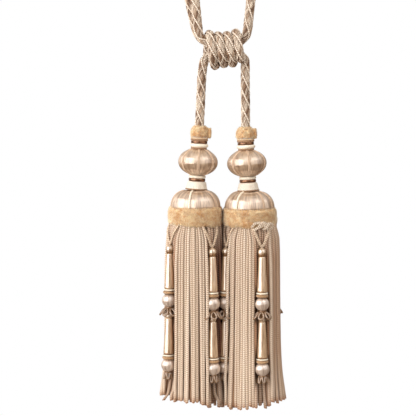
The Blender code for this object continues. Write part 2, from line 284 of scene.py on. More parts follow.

# %% [markdown]
# ## The rope
# The rope has three strands laid in a left-leaning twist, each a bundle of yarns twisted the other
# way, and a thin bright cord lies in each of the three grooves between them.
#
# ### Rope yarn and gloss cord
# The rope mixes yarns of light beige, greige and tan. A yarn gets its colour from its own number,
# so it keeps it all along, and it darkens to brown at its edges as painted shade in the grooves
# between yarns. Fine slanting fibres are bump. The thin cord in each groove is a bright, tightly
# twisted viscose.


# %% Rope finishes
def yarn_finish():
    material, tree, shader = start_finish("rope_yarn", Roughness=0.5, Sheen_Weight=0.2,
                                          Sheen_Roughness=0.4)
    thread = map_parts(tree)
    number = maths(tree, "FLOOR", maths(tree, "MULTIPLY", thread.outputs["Y"], 0.5))
    pick = node(tree, "TexWhiteNoise", {"W": number}, noise_dimensions="1D").outputs["Value"]
    base = ramp(tree, pick, ((0.0, tone(222, 202, 182)), (0.22, tone(178, 147, 119)),
                             (0.42, tone(244, 230, 211)), (0.66, tone(146, 112, 84)),
                             (0.82, tone(210, 184, 158))), "CONSTANT")
    # Painted shade: each yarn turns dark brown towards its edges, where it meets its neighbours
    inside = maths(tree, "FRACT", thread.outputs["Y"])
    edge = maths(tree, "ABSOLUTE", maths(tree, "SUBTRACT", inside, 0.5))
    groove = ramp(tree, edge, ((0.22, tone(255, 253, 250)), (0.5, tone(96, 66, 46))))
    along = node(tree, "CombineXYZ", {0: maths(tree, "MULTIPLY", thread.outputs["X"], 0.12),
                                      1: maths(tree, "MULTIPLY", thread.outputs["Y"], 1.3)})
    uneven = node(tree, "TexNoise", {"Vector": along.outputs[0], "Scale": 1.0, "Detail": 3.0})
    shade = ramp(tree, uneven.outputs["Fac"], ((0.38, tone(126, 96, 74)),
                                               (0.58, tone(255, 253, 250))))
    colour = mix(tree, 1.0, mix(tree, 0.7, base, shade, "MULTIPLY"), groove, "MULTIPLY")
    tree.links.new(colour, shader.inputs["Base Color"])
    slant = maths(tree, "ADD", maths(tree, "MULTIPLY", thread.outputs["X"], 0.9),
                  maths(tree, "MULTIPLY", thread.outputs["Y"], 2.0))
    fibre = node(tree, "TexNoise", {"Vector": node(tree, "CombineXYZ", {
        0: maths(tree, "MULTIPLY", slant, 2.6),
        1: maths(tree, "MULTIPLY", thread.outputs["Y"], 0.4)}).outputs[0],
        "Scale": 1.0, "Detail": 4.0})
    bump(tree, shader, fibre.outputs["Fac"], 0.35, 0.8)
    return material


def cord_finish(name, light, dark, twist, depth, roughness):
    """A thin twisted cord: ridges wind round it, so many radians a millimetre, and painted shade
    darkens the grooves between them.
    """
    material, tree, shader = start_finish(name, Roughness=roughness, Sheen_Weight=0.15,
                                          Sheen_Roughness=0.3)
    thread = map_parts(tree)
    turn = maths(tree, "ADD", maths(tree, "MULTIPLY", thread.outputs["X"], twist),
                 maths(tree, "MULTIPLY", thread.outputs["Y"], math.tau))
    height = maths(tree, "MULTIPLY_ADD", maths(tree, "SINE", turn), 0.5, 0.5)
    # Painted shade: dark in the grooves of the twist, light on its ridges
    tree.links.new(ramp(tree, height, ((0.0, dark), (0.7, light))), shader.inputs["Base Color"])
    bump(tree, shader, height, depth, 0.9)
    return material


ROPE_YARN = yarn_finish()
GLOSS_CORD = cord_finish("gloss_cord", tone(246, 234, 218), tone(180, 148, 118),
                         twist=4.2, depth=0.16, roughness=0.32)
print("rope finishes:", ROPE_YARN.name, GLOSS_CORD.name)

# %% [markdown]
# ### Strands
# A strand is a curve that winds round the rope's route, with a lobed outline as its bevel object,
# one lobe for each yarn. A texture could paint the twist, but only real strands give the rope its
# knobbly edge.

# %% A smooth route, and frames that travel along it
LAY_PITCH = 50.0 * MM
CURVE_STEPS = 16


def smooth_route(route, spacing):
    """Evenly spaced points on a smooth curve through a route of (across, below, away) points."""
    knots = [Vector((x, y, -below)) * MM for x, below, y in route]
    padded = [2 * knots[0] - knots[1]] + knots + [2 * knots[-1] - knots[-2]]
    fine = []
    for before, start, end, after in zip(padded, padded[1:], padded[2:], padded[3:]):
        for step in range(CURVE_STEPS):
            t = step / CURVE_STEPS
            fine.append(0.5 * (2 * start + (end - before) * t
                               + (2 * before - 5 * start + 4 * end - after) * t ** 2
                               + (3 * start - before - 3 * end + after) * t ** 3))
    fine.append(knots[-1])
    return respaced(fine, spacing)


def distances(line):
    """How far along the line each of its points is."""
    return np.concatenate([[0], np.cumsum(np.linalg.norm(np.diff(line, axis=0), axis=1))])


def points_at(line, wanted):
    """The places on a line at these distances along it."""
    travelled = distances(line)
    return np.stack([np.interp(wanted, travelled, line[:, k]) for k in range(3)], axis=1)


def respaced(points, spacing):
    """The same line with its points evenly spaced."""
    line = np.array(points)
    length = distances(line)[-1]
    return points_at(line, np.linspace(0, length, max(2, round(length / spacing) + 1)))


def route_length(line):
    return float(np.linalg.norm(np.diff(line, axis=0), axis=1).sum())


def directions(line):
    """The direction of the line at each of its points."""
    along = np.gradient(line, axis=0)
    return along / np.linalg.norm(along, axis=1)[:, None]


def travelling_frames(line):
    """At each point, two directions across the line that don't spin as they travel."""
    along = directions(line)
    side = np.cross(along[0], (0.0, 1.0, 0.0))
    if np.linalg.norm(side) < 0.1:
        side = np.cross(along[0], (1.0, 0.0, 0.0))
    sides = []
    for direction in along:
        side = side - direction * side.dot(direction)
        side = side / np.linalg.norm(side)
        sides.append(side)
    sides = np.array(sides)
    return sides, np.cross(along, sides)


# %% Wind strands round a route
STRANDS = 3
STRAND_RADIUS = 2.38 * MM
STRAND_OFFSET = 2.28 * MM
YARNS = 9
YARN_DEPTH = 0.42 * MM
YARN_PITCH = 15.0 * MM
GLOSS_RADIUS = 0.8 * MM
GLOSS_OFFSET = 3.86 * MM
RING_SPACING = 1.5 * MM
POINTS_A_LOBE = 3
SWEPT_SEAM = 0.01 * MM


def wound(line, offset, pitch, start):
    """A line that winds round another one at a distance, leaning from upper left to lower right."""
    side, other = travelling_frames(line)
    turn = (start - math.tau * distances(line) / pitch)[:, None]
    return line + offset * (np.cos(turn) * side + np.sin(turn) * other)


def lobed_outline(name, radius, lobes, depth):
    """A closed outline with a round lobe for each yarn, drawn clockwise so faces point out."""
    curve = bpy.data.curves.new(name, "CURVE")
    curve.dimensions = "2D"
    spline = curve.splines.new("POLY")
    spline.points.add(POINTS_A_LOBE * lobes - 1)
    spline.use_cyclic_u = True
    for i, point in enumerate(spline.points):
        turn = -math.tau * i / (POINTS_A_LOBE * lobes)
        reach = radius - (depth if i % POINTS_A_LOBE == 0 else 0.0)
        point.co = (reach * math.cos(turn), reach * math.sin(turn), 0.0, 1.0)
    return new_object(name, curve)


def swept(name, line, outline, spin=0.0):
    """Sweep an outline, or a round of a given radius, along a line and close the ends."""
    curve = bpy.data.curves.new(name, "CURVE")
    curve.dimensions = "3D"
    curve.use_fill_caps = True
    if isinstance(outline, float):
        curve.bevel_depth = outline
        curve.bevel_resolution = 2
    else:
        curve.bevel_mode = "OBJECT"
        curve.bevel_object = outline
    spline = curve.splines.new("POLY")
    spline.points.add(len(line) - 1)
    for i, (point, place) in enumerate(zip(spline.points, line)):
        point.co = (*place, 1.0)
        point.tilt = spin * i / (len(line) - 1)
    obj = new_object(name, curve)
    select_only(obj)
    bpy.ops.object.convert(target="MESH")
    obj = bpy.context.view_layer.objects.active
    bpy.ops.object.mode_set(mode="EDIT")
    face_outwards(SWEPT_SEAM)
    obj.data.shade_smooth()
    return obj


def finish_tube(piece, length, finish, threads=1.0, first=0.0):
    """Stretch a tube's map so that U is millimetres and V counts threads, and give its finish."""
    layer = piece.data.uv_layers[0].data
    values = np.zeros(len(layer) * 2, np.float32)
    layer.foreach_get("uv", values)
    values[0::2] *= length / MM
    values[1::2] = values[1::2] * threads + first
    layer.foreach_set("uv", values)
    piece.data.materials.append(finish)


STRAND_OUTLINE = lobed_outline("strand_outline", STRAND_RADIUS, YARNS, YARN_DEPTH)
STRAND_OUTLINE.hide_render = True


def make_rope(name, line, turn=0.0):
    """Three strands of yarns and three gloss cords along a line, joined."""
    length = route_length(line)
    pieces = []
    for strand in range(STRANDS):
        start = turn + math.tau * strand / STRANDS
        core = wound(line, STRAND_OFFSET, LAY_PITCH, start)
        piece = swept(name, core, STRAND_OUTLINE, spin=math.tau * length / YARN_PITCH)
        finish_tube(piece, length, ROPE_YARN, YARNS, strand * YARNS)
        pieces.append(piece)
    for groove in range(STRANDS):
        start = turn + math.tau * (groove + 0.5) / STRANDS
        piece = swept(name, wound(line, GLOSS_OFFSET, LAY_PITCH, start), GLOSS_RADIUS)
        finish_tube(piece, length, GLOSS_CORD)
        pieces.append(piece)
    return join(name, pieces)


print("strand outline points:", len(STRAND_OUTLINE.data.splines[0].points))

# %% [markdown]
# ### The embrace
# Two ropes run side by side up from the knot and over the hook that the frame's origin stands
# for. Their routes are the ones the solids follow, and they run on a little way into the knot,
# where the winding hides them.


# Points on each rope's middle line, in millimetres: (across, below the hook, away)
LOOP_FRONT = (
    (-5.0, 134.4, -4.6), (-12.0, 132.6, -4.4), (-18.2, 129.4, -4.5),
    (-22.2, 126.4, -4.6), (-23.4, 123.8, -4.9), (-24.3, 118.0, -5.0), (-25.3, 108.0, -5.0),
    (-27.5, 88.0, -5.0), (-31.7, 60.0, -5.0), (-34.6, 38.0, -5.0), (-34.6, 22.0, -5.0),
    (-28.0, 7.0, -5.0), (-15.5, -2.3, -5.0), (0.0, -4.9, -5.0), (15.5, -2.3, -5.0),
    (28.0, 7.0, -5.0), (34.3, 22.0, -5.0), (34.3, 38.0, -5.0), (31.8, 60.0, -5.0),
    (28.0, 88.0, -5.0), (25.6, 108.0, -5.0), (24.6, 116.0, -4.9), (23.2, 123.2, -4.6),
    (19.2, 128.4, -4.5), (13.0, 132.0, -4.4), (6.0, 134.2, -4.6),
)
LOOP_BACK = (
    (-5.0, 134.4, 5.0), (-12.0, 132.6, 5.2), (-18.4, 129.2, 5.2),
    (-22.6, 125.8, 5.2), (-24.6, 122.4, 5.3), (-26.6, 118.0, 5.2), (-29.0, 108.0, 5.0),
    (-33.2, 88.0, 5.0), (-36.6, 60.0, 5.0), (-37.4, 38.0, 5.0), (-35.6, 22.0, 5.0),
    (-28.4, 6.6, 5.0), (-15.7, -2.4, 5.0), (0.0, -4.9, 5.0), (15.5, -2.3, 5.0),
    (27.7, 7.2, 5.0), (33.7, 22.0, 5.0), (33.8, 38.0, 5.0), (31.6, 60.0, 5.0),
    (28.0, 88.0, 5.0), (26.0, 108.0, 5.0), (25.2, 116.0, 5.2), (23.6, 123.2, 5.2),
    (19.4, 128.4, 5.2), (13.0, 132.0, 5.2), (6.0, 134.2, 5.0),
)

for name, route, turn in (("embrace_front", LOOP_FRONT, 0.4), ("embrace_back", LOOP_BACK, 2.1)):
    line = smooth_route(route, RING_SPACING)
    rope = make_rope(name, line, turn)
    hand_over(rope, "rope", name.replace("embrace", "loop"))

# %% [markdown]
# ### The knot
# The same rope is wound four times round the loop ropes. Its line is a helix about a level axis,
# worked out by a loop, with both ends drawn in towards the middle so that they vanish. Two short
# runs of rope lie inside it, side by side, so that no light shows through between its turns.

# %% The wound knot
KNOT_BELOW = 138.6
KNOT_DEEP = 15.7
KNOT_FIRST_ACROSS = -12.6
KNOT_TURN_PITCH = 8.7
KNOT_SWAY = 0.75
KNOT_FIRST_TURN = -0.42
KNOT_LAST_TURN = 3.46
KNOT_TUCK_TURNS = 0.16
KNOT_TUCK = 8.0

# The turns are not all as high as one another: a turn's number, and its height there
KNOT_TURNS = (-0.42, 0.0, 0.5, 1.0, 1.5, 2.0, 2.5, 3.0, 3.46)
KNOT_HIGH = (14.2, 15.1, 15.5, 13.7, 13.6, 14.2, 12.9, 16.6, 13.6)
KNOT_STEPS = 260

# The runs inside: their (across, below) points, and how far away and how turned each one is
INSIDE_ROUTE = ((-13.4, 143.0), (0.0, 144.0), (13.4, 143.0))
INSIDE_RUNS = ((-4.8, 0.4), (4.8, 1.3))


def knot_line():
    """The winding's centre line, evenly spaced."""
    points = []
    for i in range(KNOT_STEPS + 1):
        turns = KNOT_FIRST_TURN + (KNOT_LAST_TURN - KNOT_FIRST_TURN) * i / KNOT_STEPS
        angle = math.tau * turns
        from_end = min(turns - KNOT_FIRST_TURN, KNOT_LAST_TURN - turns)
        tuck = KNOT_TUCK * max(0.0, 1.0 - from_end / KNOT_TUCK_TURNS) ** 2
        high = float(np.interp(turns, KNOT_TURNS, KNOT_HIGH)) - tuck
        across = KNOT_FIRST_ACROSS + KNOT_TURN_PITCH * turns - KNOT_SWAY * math.cos(angle)
        points.append(Vector((across, -(KNOT_DEEP - tuck) * math.sin(angle),
                              high * math.cos(angle) - KNOT_BELOW)) * MM)
    return respaced(points, RING_SPACING)


line = knot_line()
knot = make_rope("knot_winding", line, 1.0)
hand_over(knot, "rope", "knot")

runs = []
for away, turn in INSIDE_RUNS:
    route = [(across, below, away) for across, below in INSIDE_ROUTE]
    runs.append(make_rope("knot_inside", smooth_route(route, RING_SPACING), turn))
hand_over(join("knot_inside", runs), "rope")

# %% [markdown]
# ### The drops
# The rope's two ends hang from the knot, each straight down into the top ruff of its tassel.

# %% The two drops
DROP_LEFT = (
    (-8.0, 142.6, 1.6), (-13.5, 144.6, 1.2),
    (-17.8, 149.0, 0.6), (-19.0, 153.0, 0.4), (-20.2, 160.0, 0.2), (-21.0, 172.0, 0.0),
    (-21.9, 192.0, 0.0), (-23.0, 212.7, 0.0), (-23.3, 218.0, 0.0),
)
DROP_RIGHT = (
    (12.0, 141.0, 1.0), (17.5, 143.6, 0.8),
    (22.0, 149.0, 0.6), (22.3, 153.0, 0.4), (22.4, 160.0, 0.2), (22.4, 172.0, 0.0),
    (22.7, 192.0, 0.0), (22.8, 214.0, 0.0), (22.9, 219.0, 0.0),
)

for name, route, turn in (("left", DROP_LEFT, 0.9), ("right", DROP_RIGHT, 2.6)):
    line = smooth_route(route, RING_SPACING)
    rope = make_rope("rope_end_" + name, line, turn)
    hand_over(rope, "rope", "drop_" + name)

# %% [markdown]
# ## Turned and silk-wrapped pieces
# The heads are wooden moulds, turned on a lathe and wrapped from top to bottom in floss silk. A
# turned form starts as one point that is extruded down the profile and then spun round the axis,
# which is how a lathe works. Its UV map is written afterwards: U counts once round and V is the
# height in millimetres, so the silk finish can draw threads that run down the form and bend its
# highlight sideways, as wrapped silk does.


# %% Turn a profile
SPUN_SEAM = 0.002 * MM
ON_AXIS = 0.01 * MM


def turned(name, profile, sides):
    """Spin (radius, height) pairs, in millimetres, round the upright axis."""
    radius, height = profile[0]
    bpy.ops.object.select_all(action="DESELECT")
    bpy.ops.mesh.primitive_plane_add(size=MM, location=(radius * MM, 0.0, height * MM))
    obj = bpy.context.object
    obj.name = name
    bpy.ops.object.transform_apply(location=True, rotation=False, scale=False)
    bpy.ops.object.mode_set(mode="EDIT")
    bpy.ops.mesh.select_all(action="SELECT")
    bpy.ops.mesh.merge(type="CENTER")
    for (r0, z0), (r1, z1) in zip(profile, profile[1:]):
        step = ((r1 - r0) * MM, 0.0, (z1 - z0) * MM)
        bpy.ops.mesh.extrude_region_move(TRANSFORM_OT_translate={"value": step})
    bpy.ops.mesh.select_all(action="SELECT")
    bpy.ops.mesh.spin(steps=sides, angle=math.tau, center=(0, 0, 0), axis=(0, 0, 1))
    face_outwards(SPUN_SEAM)
    write_map(obj.data, lambda place: math.atan2(place.y, place.x),
              lambda turn, height: (turn / math.tau + 0.5, height / MM))
    return obj


def write_map(mesh, turn_of, spot):
    """Write a map from each corner's turn round the upright axis and its height.

    A corner's turn stays within half a turn of its face's middle, so no face tears at the seam.
    """
    layer = mesh.uv_layers[0] if mesh.uv_layers else mesh.uv_layers.new(name="UVMap")
    for face in mesh.polygons:
        middle = turn_of(face.center)
        for loop in face.loop_indices:
            place = mesh.vertices[mesh.loops[loop].vertex_index].co
            turn = turn_of(place) if place.xy.length > ON_AXIS else middle
            turn = middle + (turn - middle + math.pi) % math.tau - math.pi
            layer.data[loop].uv = spot(turn, place.z)


def smooth_turned(obj, angle=40.0):
    select_only(obj)
    bpy.ops.object.shade_smooth_by_angle(angle=math.radians(angle))


def paint_by_height(obj, finishes):
    """Give faces a finish by their height: (lowest height, finish) rows from the top down."""
    for _, finish in finishes:
        obj.data.materials.append(finish)
    for face in obj.data.polygons:
        height = face.center.z / MM
        face.material_index = next((i for i, (lowest, _) in enumerate(finishes)
                                    if height >= lowest), len(finishes) - 1)


def move_corners(obj, rule):
    """Move each corner: the rule gets its angle, radius and height in mm and returns them."""
    for vert in obj.data.vertices:
        angle = math.atan2(vert.co.x, -vert.co.y)
        radius, height = rule(angle, vert.co.xy.length / MM, vert.co.z / MM)
        vert.co = (radius * math.sin(angle) * MM, -radius * math.cos(angle) * MM, height * MM)


def arc(radius, half_height, middle, first, last, steps):
    """Part of an ellipse, from one angle below the pole to another, as (radius, height)."""
    angles = [math.radians(first + (last - first) * i / steps) for i in range(steps + 1)]
    return [(radius * math.sin(a), middle + half_height * math.cos(a)) for a in angles]


def closed_to_axis(side):
    """A profile with a flat end at its top and another at its bottom."""
    return [(0.0, side[0][1])] + side + [(0.0, side[-1][1])]


# %% [markdown]
# ### Floss silk, bands and cream
# Floss silk has hardly any twist, so it shines like a sheet of fine parallel threads. A fairly low
# roughness with strong anisotropy makes its highlight a wide band. A high index of refraction
# keeps that band white, where a metal would tint it. Thread bump and streaks keep it from looking
# like paint. The rings, lines and collars between the silk are matt thread, wound the other way.


# %% Silk finishes
def streaks(tree, around, threads, along):
    """Noise drawn out along the threads: so many threads round, long in mm along."""
    spread = node(tree, "CombineXYZ", {0: maths(tree, "MULTIPLY", around.outputs["X"], threads),
                                       1: maths(tree, "MULTIPLY", around.outputs["Y"], along)})
    return node(tree, "TexNoise", {"Vector": spread.outputs[0], "Scale": 1.0, "Detail": 2.0,
                                   "Roughness": 0.6}).outputs["Fac"]


def silk_finish(name, light, dark, threads, roughness, anisotropy, metallic, ior):
    """Wrapped silk with threads that run down the form."""
    material, tree, shader = start_finish(name, Roughness=roughness, Metallic=metallic,
                                          IOR=ior, Anisotropic=anisotropy)
    around = map_parts(tree)
    fine = streaks(tree, around, threads, 0.12)
    broad = streaks(tree, around, threads / 6, 0.05)
    blend = maths(tree, "MULTIPLY_ADD", broad, 0.5, maths(tree, "MULTIPLY", fine, 0.5))
    tree.links.new(ramp(tree, blend, ((0.37, dark), (0.58, light))), shader.inputs["Base Color"])
    tangent = node(tree, "Tangent", direction_type="UV_MAP")
    tree.links.new(tangent.outputs["Tangent"], shader.inputs["Tangent"])
    bump(tree, shader, fine, 0.05)
    return material


def cream_finish(name, light, dark, ridges, starts, depth):
    """Matt thread wound round the form: its ridges lean, since so many threads start at once, and
    painted shade darkens the grooves between them among random streaks.
    """
    material, tree, shader = start_finish(name, Roughness=0.55, Sheen_Weight=0.3,
                                          Sheen_Roughness=0.5)
    around = map_parts(tree)
    lean = maths(tree, "MULTIPLY", around.outputs["X"], math.tau * starts)
    wave = maths(tree, "SINE", maths(tree, "MULTIPLY_ADD", around.outputs["Y"], ridges, lean))
    rough = streaks(tree, around, 90.0, 1.6)
    height = maths(tree, "MULTIPLY_ADD", wave, 0.3, rough)
    # Painted shade in the grooves between ridges, mixed with random streaks of tone
    tree.links.new(ramp(tree, height, ((0.25, dark), (0.75, light))),
                   shader.inputs["Base Color"])
    bump(tree, shader, height, depth, 0.9)
    return material


SILK = silk_finish("champagne_silk", tone(220, 190, 158), tone(134, 98, 70), threads=260.0,
                   roughness=0.28, anisotropy=1.0, metallic=0.3, ior=3.5)
# Painted shade: the glossy neck bands are dark brown, standing for a concave satin waist in shade
SHADED_GLOSS_BAND = silk_finish("gloss_band_painted_shade", tone(150, 104, 70), tone(64, 38, 24), threads=120.0,
                        roughness=0.16, anisotropy=0.0, metallic=0.75, ior=2.0)
TAN_LINE = cream_finish("tan_line", tone(244, 222, 188), tone(206, 170, 128), ridges=5.0,
                        starts=50, depth=0.2)
CREAM_RING = cream_finish("cream_ring", tone(255, 250, 234), tone(242, 224, 196), ridges=4.0,
                          starts=40, depth=0.2)
BROWN_THREAD = cream_finish("brown_thread", tone(186, 144, 104), tone(120, 80, 50), ridges=6.0,
                            starts=60, depth=0.3)
CREAM_GATHER = cream_finish("cream_gather", tone(255, 250, 238), tone(234, 214, 186), ridges=2.4,
                            starts=60, depth=0.4)
print("thread finishes:", SILK.name, SHADED_GLOSS_BAND.name, TAN_LINE.name, CREAM_RING.name,
      BROWN_THREAD.name, CREAM_GATHER.name)

# %% [markdown]
# ### Paired ribs
# A pair of thin cords covered in the same silk runs down each ball and dome and draws the wrapped
# silk in, so that it swells between them like a pillow. One rib on each dome is a single fat
# cream cord. Each is a round curve that lies in its dip, so it catches its own light.

# %% Rib cords
RIB_RADIUS = 0.5
RIB_APART = 1.2
CREAM_RIB_RADIUS = 1.0
RIB_STEP = 1.1 * MM
RIB_SUNK = 0.75
PANEL_DIP = 0.9
PANEL_DIP_WIDTH = 4.0
FULL_DIP_RADIUS = 15.0
POLE_RADIUS = 3.0


def dip_depth(radius):
    """How far the silk is drawn in under a rib, where the form has this radius."""
    return PANEL_DIP * min(1.0, radius / FULL_DIP_RADIUS)


def rib(name, profile, angle, aside, thickness, finish):
    """One cord down a profile of (radius, height), so far aside of an angle from the front."""
    points = []
    for radius, height in profile:
        turn = math.radians(angle) + aside / max(radius, POLE_RADIUS)
        reach = radius - dip_depth(radius) + RIB_SUNK * thickness
        points.append(Vector((reach * math.sin(turn), -reach * math.cos(turn), height)) * MM)
    line = respaced(points, RIB_STEP)
    piece = swept(name, line, thickness * MM)
    finish_tube(piece, route_length(line), finish)
    return piece


def rib_pairs(name, profile, angles):
    """Two thin cords side by side at each angle."""
    return [rib(name, profile, angle, side * RIB_APART / 2, RIB_RADIUS, SILK_RIB)
            for angle in angles for side in (-1, 1)]


SILK_RIB = cord_finish("silk_rib", tone(232, 204, 176), tone(178, 144, 114),
                       twist=5.0, depth=0.15, roughness=0.35)
CREAM_RIB = cord_finish("cream_rib", tone(255, 248, 230), tone(236, 212, 178),
                        twist=4.0, depth=0.2, roughness=0.4)
print("rib finishes:", SILK_RIB.name, CREAM_RIB.name)

# %% [markdown]
# ## The heads
# From the top down each head has a plush top ruff, an upper neck of thread, gloss and cream bands,
# the flattened ball, a lower neck with a gathered cream collar, and the dome. The left head leans
# a little to the right and the right one to the left, so each is modelled upright and its mesh is
# then placed by its head's matrix.

# %% Where the tassels stand
# Places in millimetres, top being how far the dome's top is below the hook, and angles in degrees
TASSELS = (
    dict(name="left", across=-27.0, top=277.6, head_across=-26.1, lean=3.4, skirt_across=-28.2,
         ball_ribs=(3.0, 53.0, 112.0, 178.0, -117.0, -53.0),
         dome_ribs=(57.0, 130.0, -158.0, -86.0), cream_rib=-14.0),
    dict(name="right", across=26.9, top=278.9, head_across=25.7, lean=-3.2, skirt_across=29.0,
         ball_ribs=(-48.0, 6.0, 66.0, 126.0, -174.0, -114.0),
         dome_ribs=(35.0, 66.0, 128.0, -170.0, -105.0), cream_rib=-33.0),
)
for tassel in TASSELS:
    lean = Matrix.Rotation(math.radians(tassel["lean"]), 4, "Y")
    top = -tassel["top"] * MM
    tassel["head_frame"] = Matrix.Translation((tassel["head_across"] * MM, 0.0, top)) @ lean
    tassel["base_frame"] = Matrix.Translation((tassel["across"] * MM, 0.0, top))
    tassel["skirt_frame"] = Matrix.Translation((tassel["skirt_across"] * MM, 0.0, top))


def placed(obj, frame_matrix):
    """Put the mesh where the matrix says, and leave the object at the origin."""
    obj.data.transform(frame_matrix)
    obj.data.update()
    return obj


print("tassels:", [tassel["name"] for tassel in TASSELS])

# %% Ball and dome
BALL, BALL_HALF_HEIGHT, BALL_ABOVE = 19.7, 13.9, 28.2
BALL_CUT = 22.0
BALL_STEPS, BALL_SIDES = 26, 108
COLLAR, DOME, DOME_HEIGHT = 10.8, 25.0, 16.2
DOME_STEPS, DOME_SIDES = 16, 120
RIM_BELOW = 0.9
LOWEST = -999.0


def dip_at_ribs(ribs):
    """The silk is drawn in along each pair of ribs and swells between them."""
    def rule(angle, radius, height):
        for rib_angle in ribs:
            turn = (math.degrees(angle) - rib_angle + 180.0) % 360.0 - 180.0
            aside = math.radians(turn) * radius
            radius -= dip_depth(radius) * math.exp(-(aside / PANEL_DIP_WIDTH) ** 2)
        return radius, height
    return rule


def dome_profile(steps):
    """Quarter-round shoulder from the collar out to the rim."""
    angles = [math.radians(90.0) * i / steps for i in range(steps + 1)]
    return [(COLLAR + (DOME - COLLAR) * math.sin(a), -DOME_HEIGHT * (1 - math.cos(a)))
            for a in angles]


def make_ball(tassel):
    side = arc(BALL, BALL_HALF_HEIGHT, BALL_ABOVE, BALL_CUT, 180.0 - BALL_CUT, BALL_STEPS)
    ball = turned(tassel["name"] + "_silk_ball", closed_to_axis(side), BALL_SIDES)
    move_corners(ball, dip_at_ribs(tassel["ball_ribs"]))
    smooth_turned(ball)
    ball.data.materials.append(SILK)
    ribs = rib_pairs("ball_rib", side, tassel["ball_ribs"])
    return placed(join(ball.name, [ball] + ribs), tassel["head_frame"])


def make_dome(tassel):
    shoulder = dome_profile(DOME_STEPS)
    rim = [(DOME - 0.3, -DOME_HEIGHT - 1.0), (DOME - 0.9, -DOME_HEIGHT - 1.6),
           (DOME - 0.5, -DOME_HEIGHT - 2.2), (DOME - 0.5, -DOME_HEIGHT - 3.0),
           (DOME - 1.5, -DOME_HEIGHT - 3.4), (0.0, -DOME_HEIGHT - 3.4)]
    dome = turned(tassel["name"] + "_silk_dome", [(0.0, 0.0)] + shoulder + rim, DOME_SIDES)
    move_corners(dome, dip_at_ribs(tassel["dome_ribs"] + (tassel["cream_rib"],)))
    smooth_turned(dome)
    paint_by_height(dome, ((-DOME_HEIGHT - RIM_BELOW, SILK), (LOWEST, BROWN_THREAD)))
    ribs = rib_pairs("dome_rib", shoulder, tassel["dome_ribs"])
    ribs.append(rib("cream_rib", shoulder, tassel["cream_rib"], 0.0, CREAM_RIB_RADIUS, CREAM_RIB))
    return placed(join(dome.name, [dome] + ribs), tassel["base_frame"])


for tassel in TASSELS:
    hand_over(make_ball(tassel), "satin", tassel["name"] + "_ball")
    hand_over(make_dome(tassel), "satin", tassel["name"] + "_dome")

# %% [markdown]
# ### The necks
# The upper neck stacks a light line, a brown thread band, a glossy band, a fat cream ring and
# brown thread again. The glossy band's gloss is real, and its dark brown colour is painted shade
# for a concave satin waist that reflects the dark. The lower neck repeats the ring and the band and
# ends in a cream gathered collar, whose folds are real: the corners of its lower rings are moved
# in and out by a few sine waves of unlike length.

# %% Upper and lower neck
UPPER_NECK = ((0.0, 52.5), (8.2, 52.5), (8.7, 52.2), (8.8, 51.7), (8.3, 51.3), (8.5, 50.9),
              (8.8, 50.2), (8.5, 49.4), (7.8, 49.1), (8.0, 48.6), (8.2, 47.7), (8.0, 46.8),
              (7.7, 46.5), (8.4, 46.2), (9.1, 45.6), (9.4, 44.7), (9.1, 43.8), (8.4, 43.1),
              (7.6, 42.7), (8.0, 42.3), (8.1, 41.7), (7.7, 41.1), (0.0, 41.1))
UPPER_BANDS = ((51.3, TAN_LINE), (49.1, BROWN_THREAD), (46.5, SHADED_GLOSS_BAND), (42.7, CREAM_RING),
               (LOWEST, BROWN_THREAD))
LOWER_NECK = ((0.0, 15.0), (7.6, 15.0), (8.3, 14.4), (8.6, 13.5), (8.3, 12.6), (7.7, 12.2),
              (8.1, 11.8), (8.3, 10.6), (8.1, 9.4), (7.8, 9.0), (8.8, 8.6), (9.3, 7.6),
              (9.6, 6.2), (9.9, 4.8), (10.2, 3.4), (10.5, 2.4), (10.5, 1.9), (10.1, 1.7),
              (10.9, 1.4), (11.0, 0.9), (10.6, 0.5), (0.0, 0.5))
LOWER_BANDS = ((12.2, CREAM_RING), (9.0, SHADED_GLOSS_BAND), (1.8, CREAM_GATHER), (LOWEST, BROWN_THREAD))
NECK_SIDES, COLLAR_SIDES = 72, 144
NECK_EDGE = 60.0
GATHER_TOP, GATHER_REACH = 8.4, 3.0
# Folds round the collar, how far each wave moves them, and where it starts
GATHER_WAVES = ((41, 0.13, 0.4), (29, 0.12, 1.9), (11, 0.12, 4.0))


def gathered(angle, radius, height):
    """Folds that deepen towards the collar's lower edge."""
    if radius > 5.0 and height < GATHER_TOP:
        deep = min(1.0, (GATHER_TOP - height) / GATHER_REACH)
        radius += deep * sum(size * math.sin(count * angle + start + 0.5 * height)
                             for count, size, start in GATHER_WAVES)
    return radius, height


for tassel in TASSELS:
    upper = turned(tassel["name"] + "_neck_bands", UPPER_NECK, NECK_SIDES)
    lower = turned(tassel["name"] + "_gathered_collar", LOWER_NECK, COLLAR_SIDES)
    move_corners(lower, gathered)
    for neck, bands, slot, solid in ((upper, UPPER_BANDS, "band", "_upper_neck"),
                                     (lower, LOWER_BANDS, "cream", "_lower_neck")):
        smooth_turned(neck, NECK_EDGE)
        paint_by_height(neck, bands)
        hand_over(placed(neck, tassel["head_frame"]), slot, tassel["name"] + solid)

# %% [markdown]
# ## Cut plush
# The ruffs are strips of cut plush wound round the form. Each has a lumpy base band and thousands
# of small closed tufts that stand on it, all copies of one four-sided point, and at the top ruff
# the end of the strip laps over it as a second little band. The tuft is modelled once, and its
# copies are written into one joined mesh. Hair would look as good in the render, but a joined
# mesh is what other programs can use.


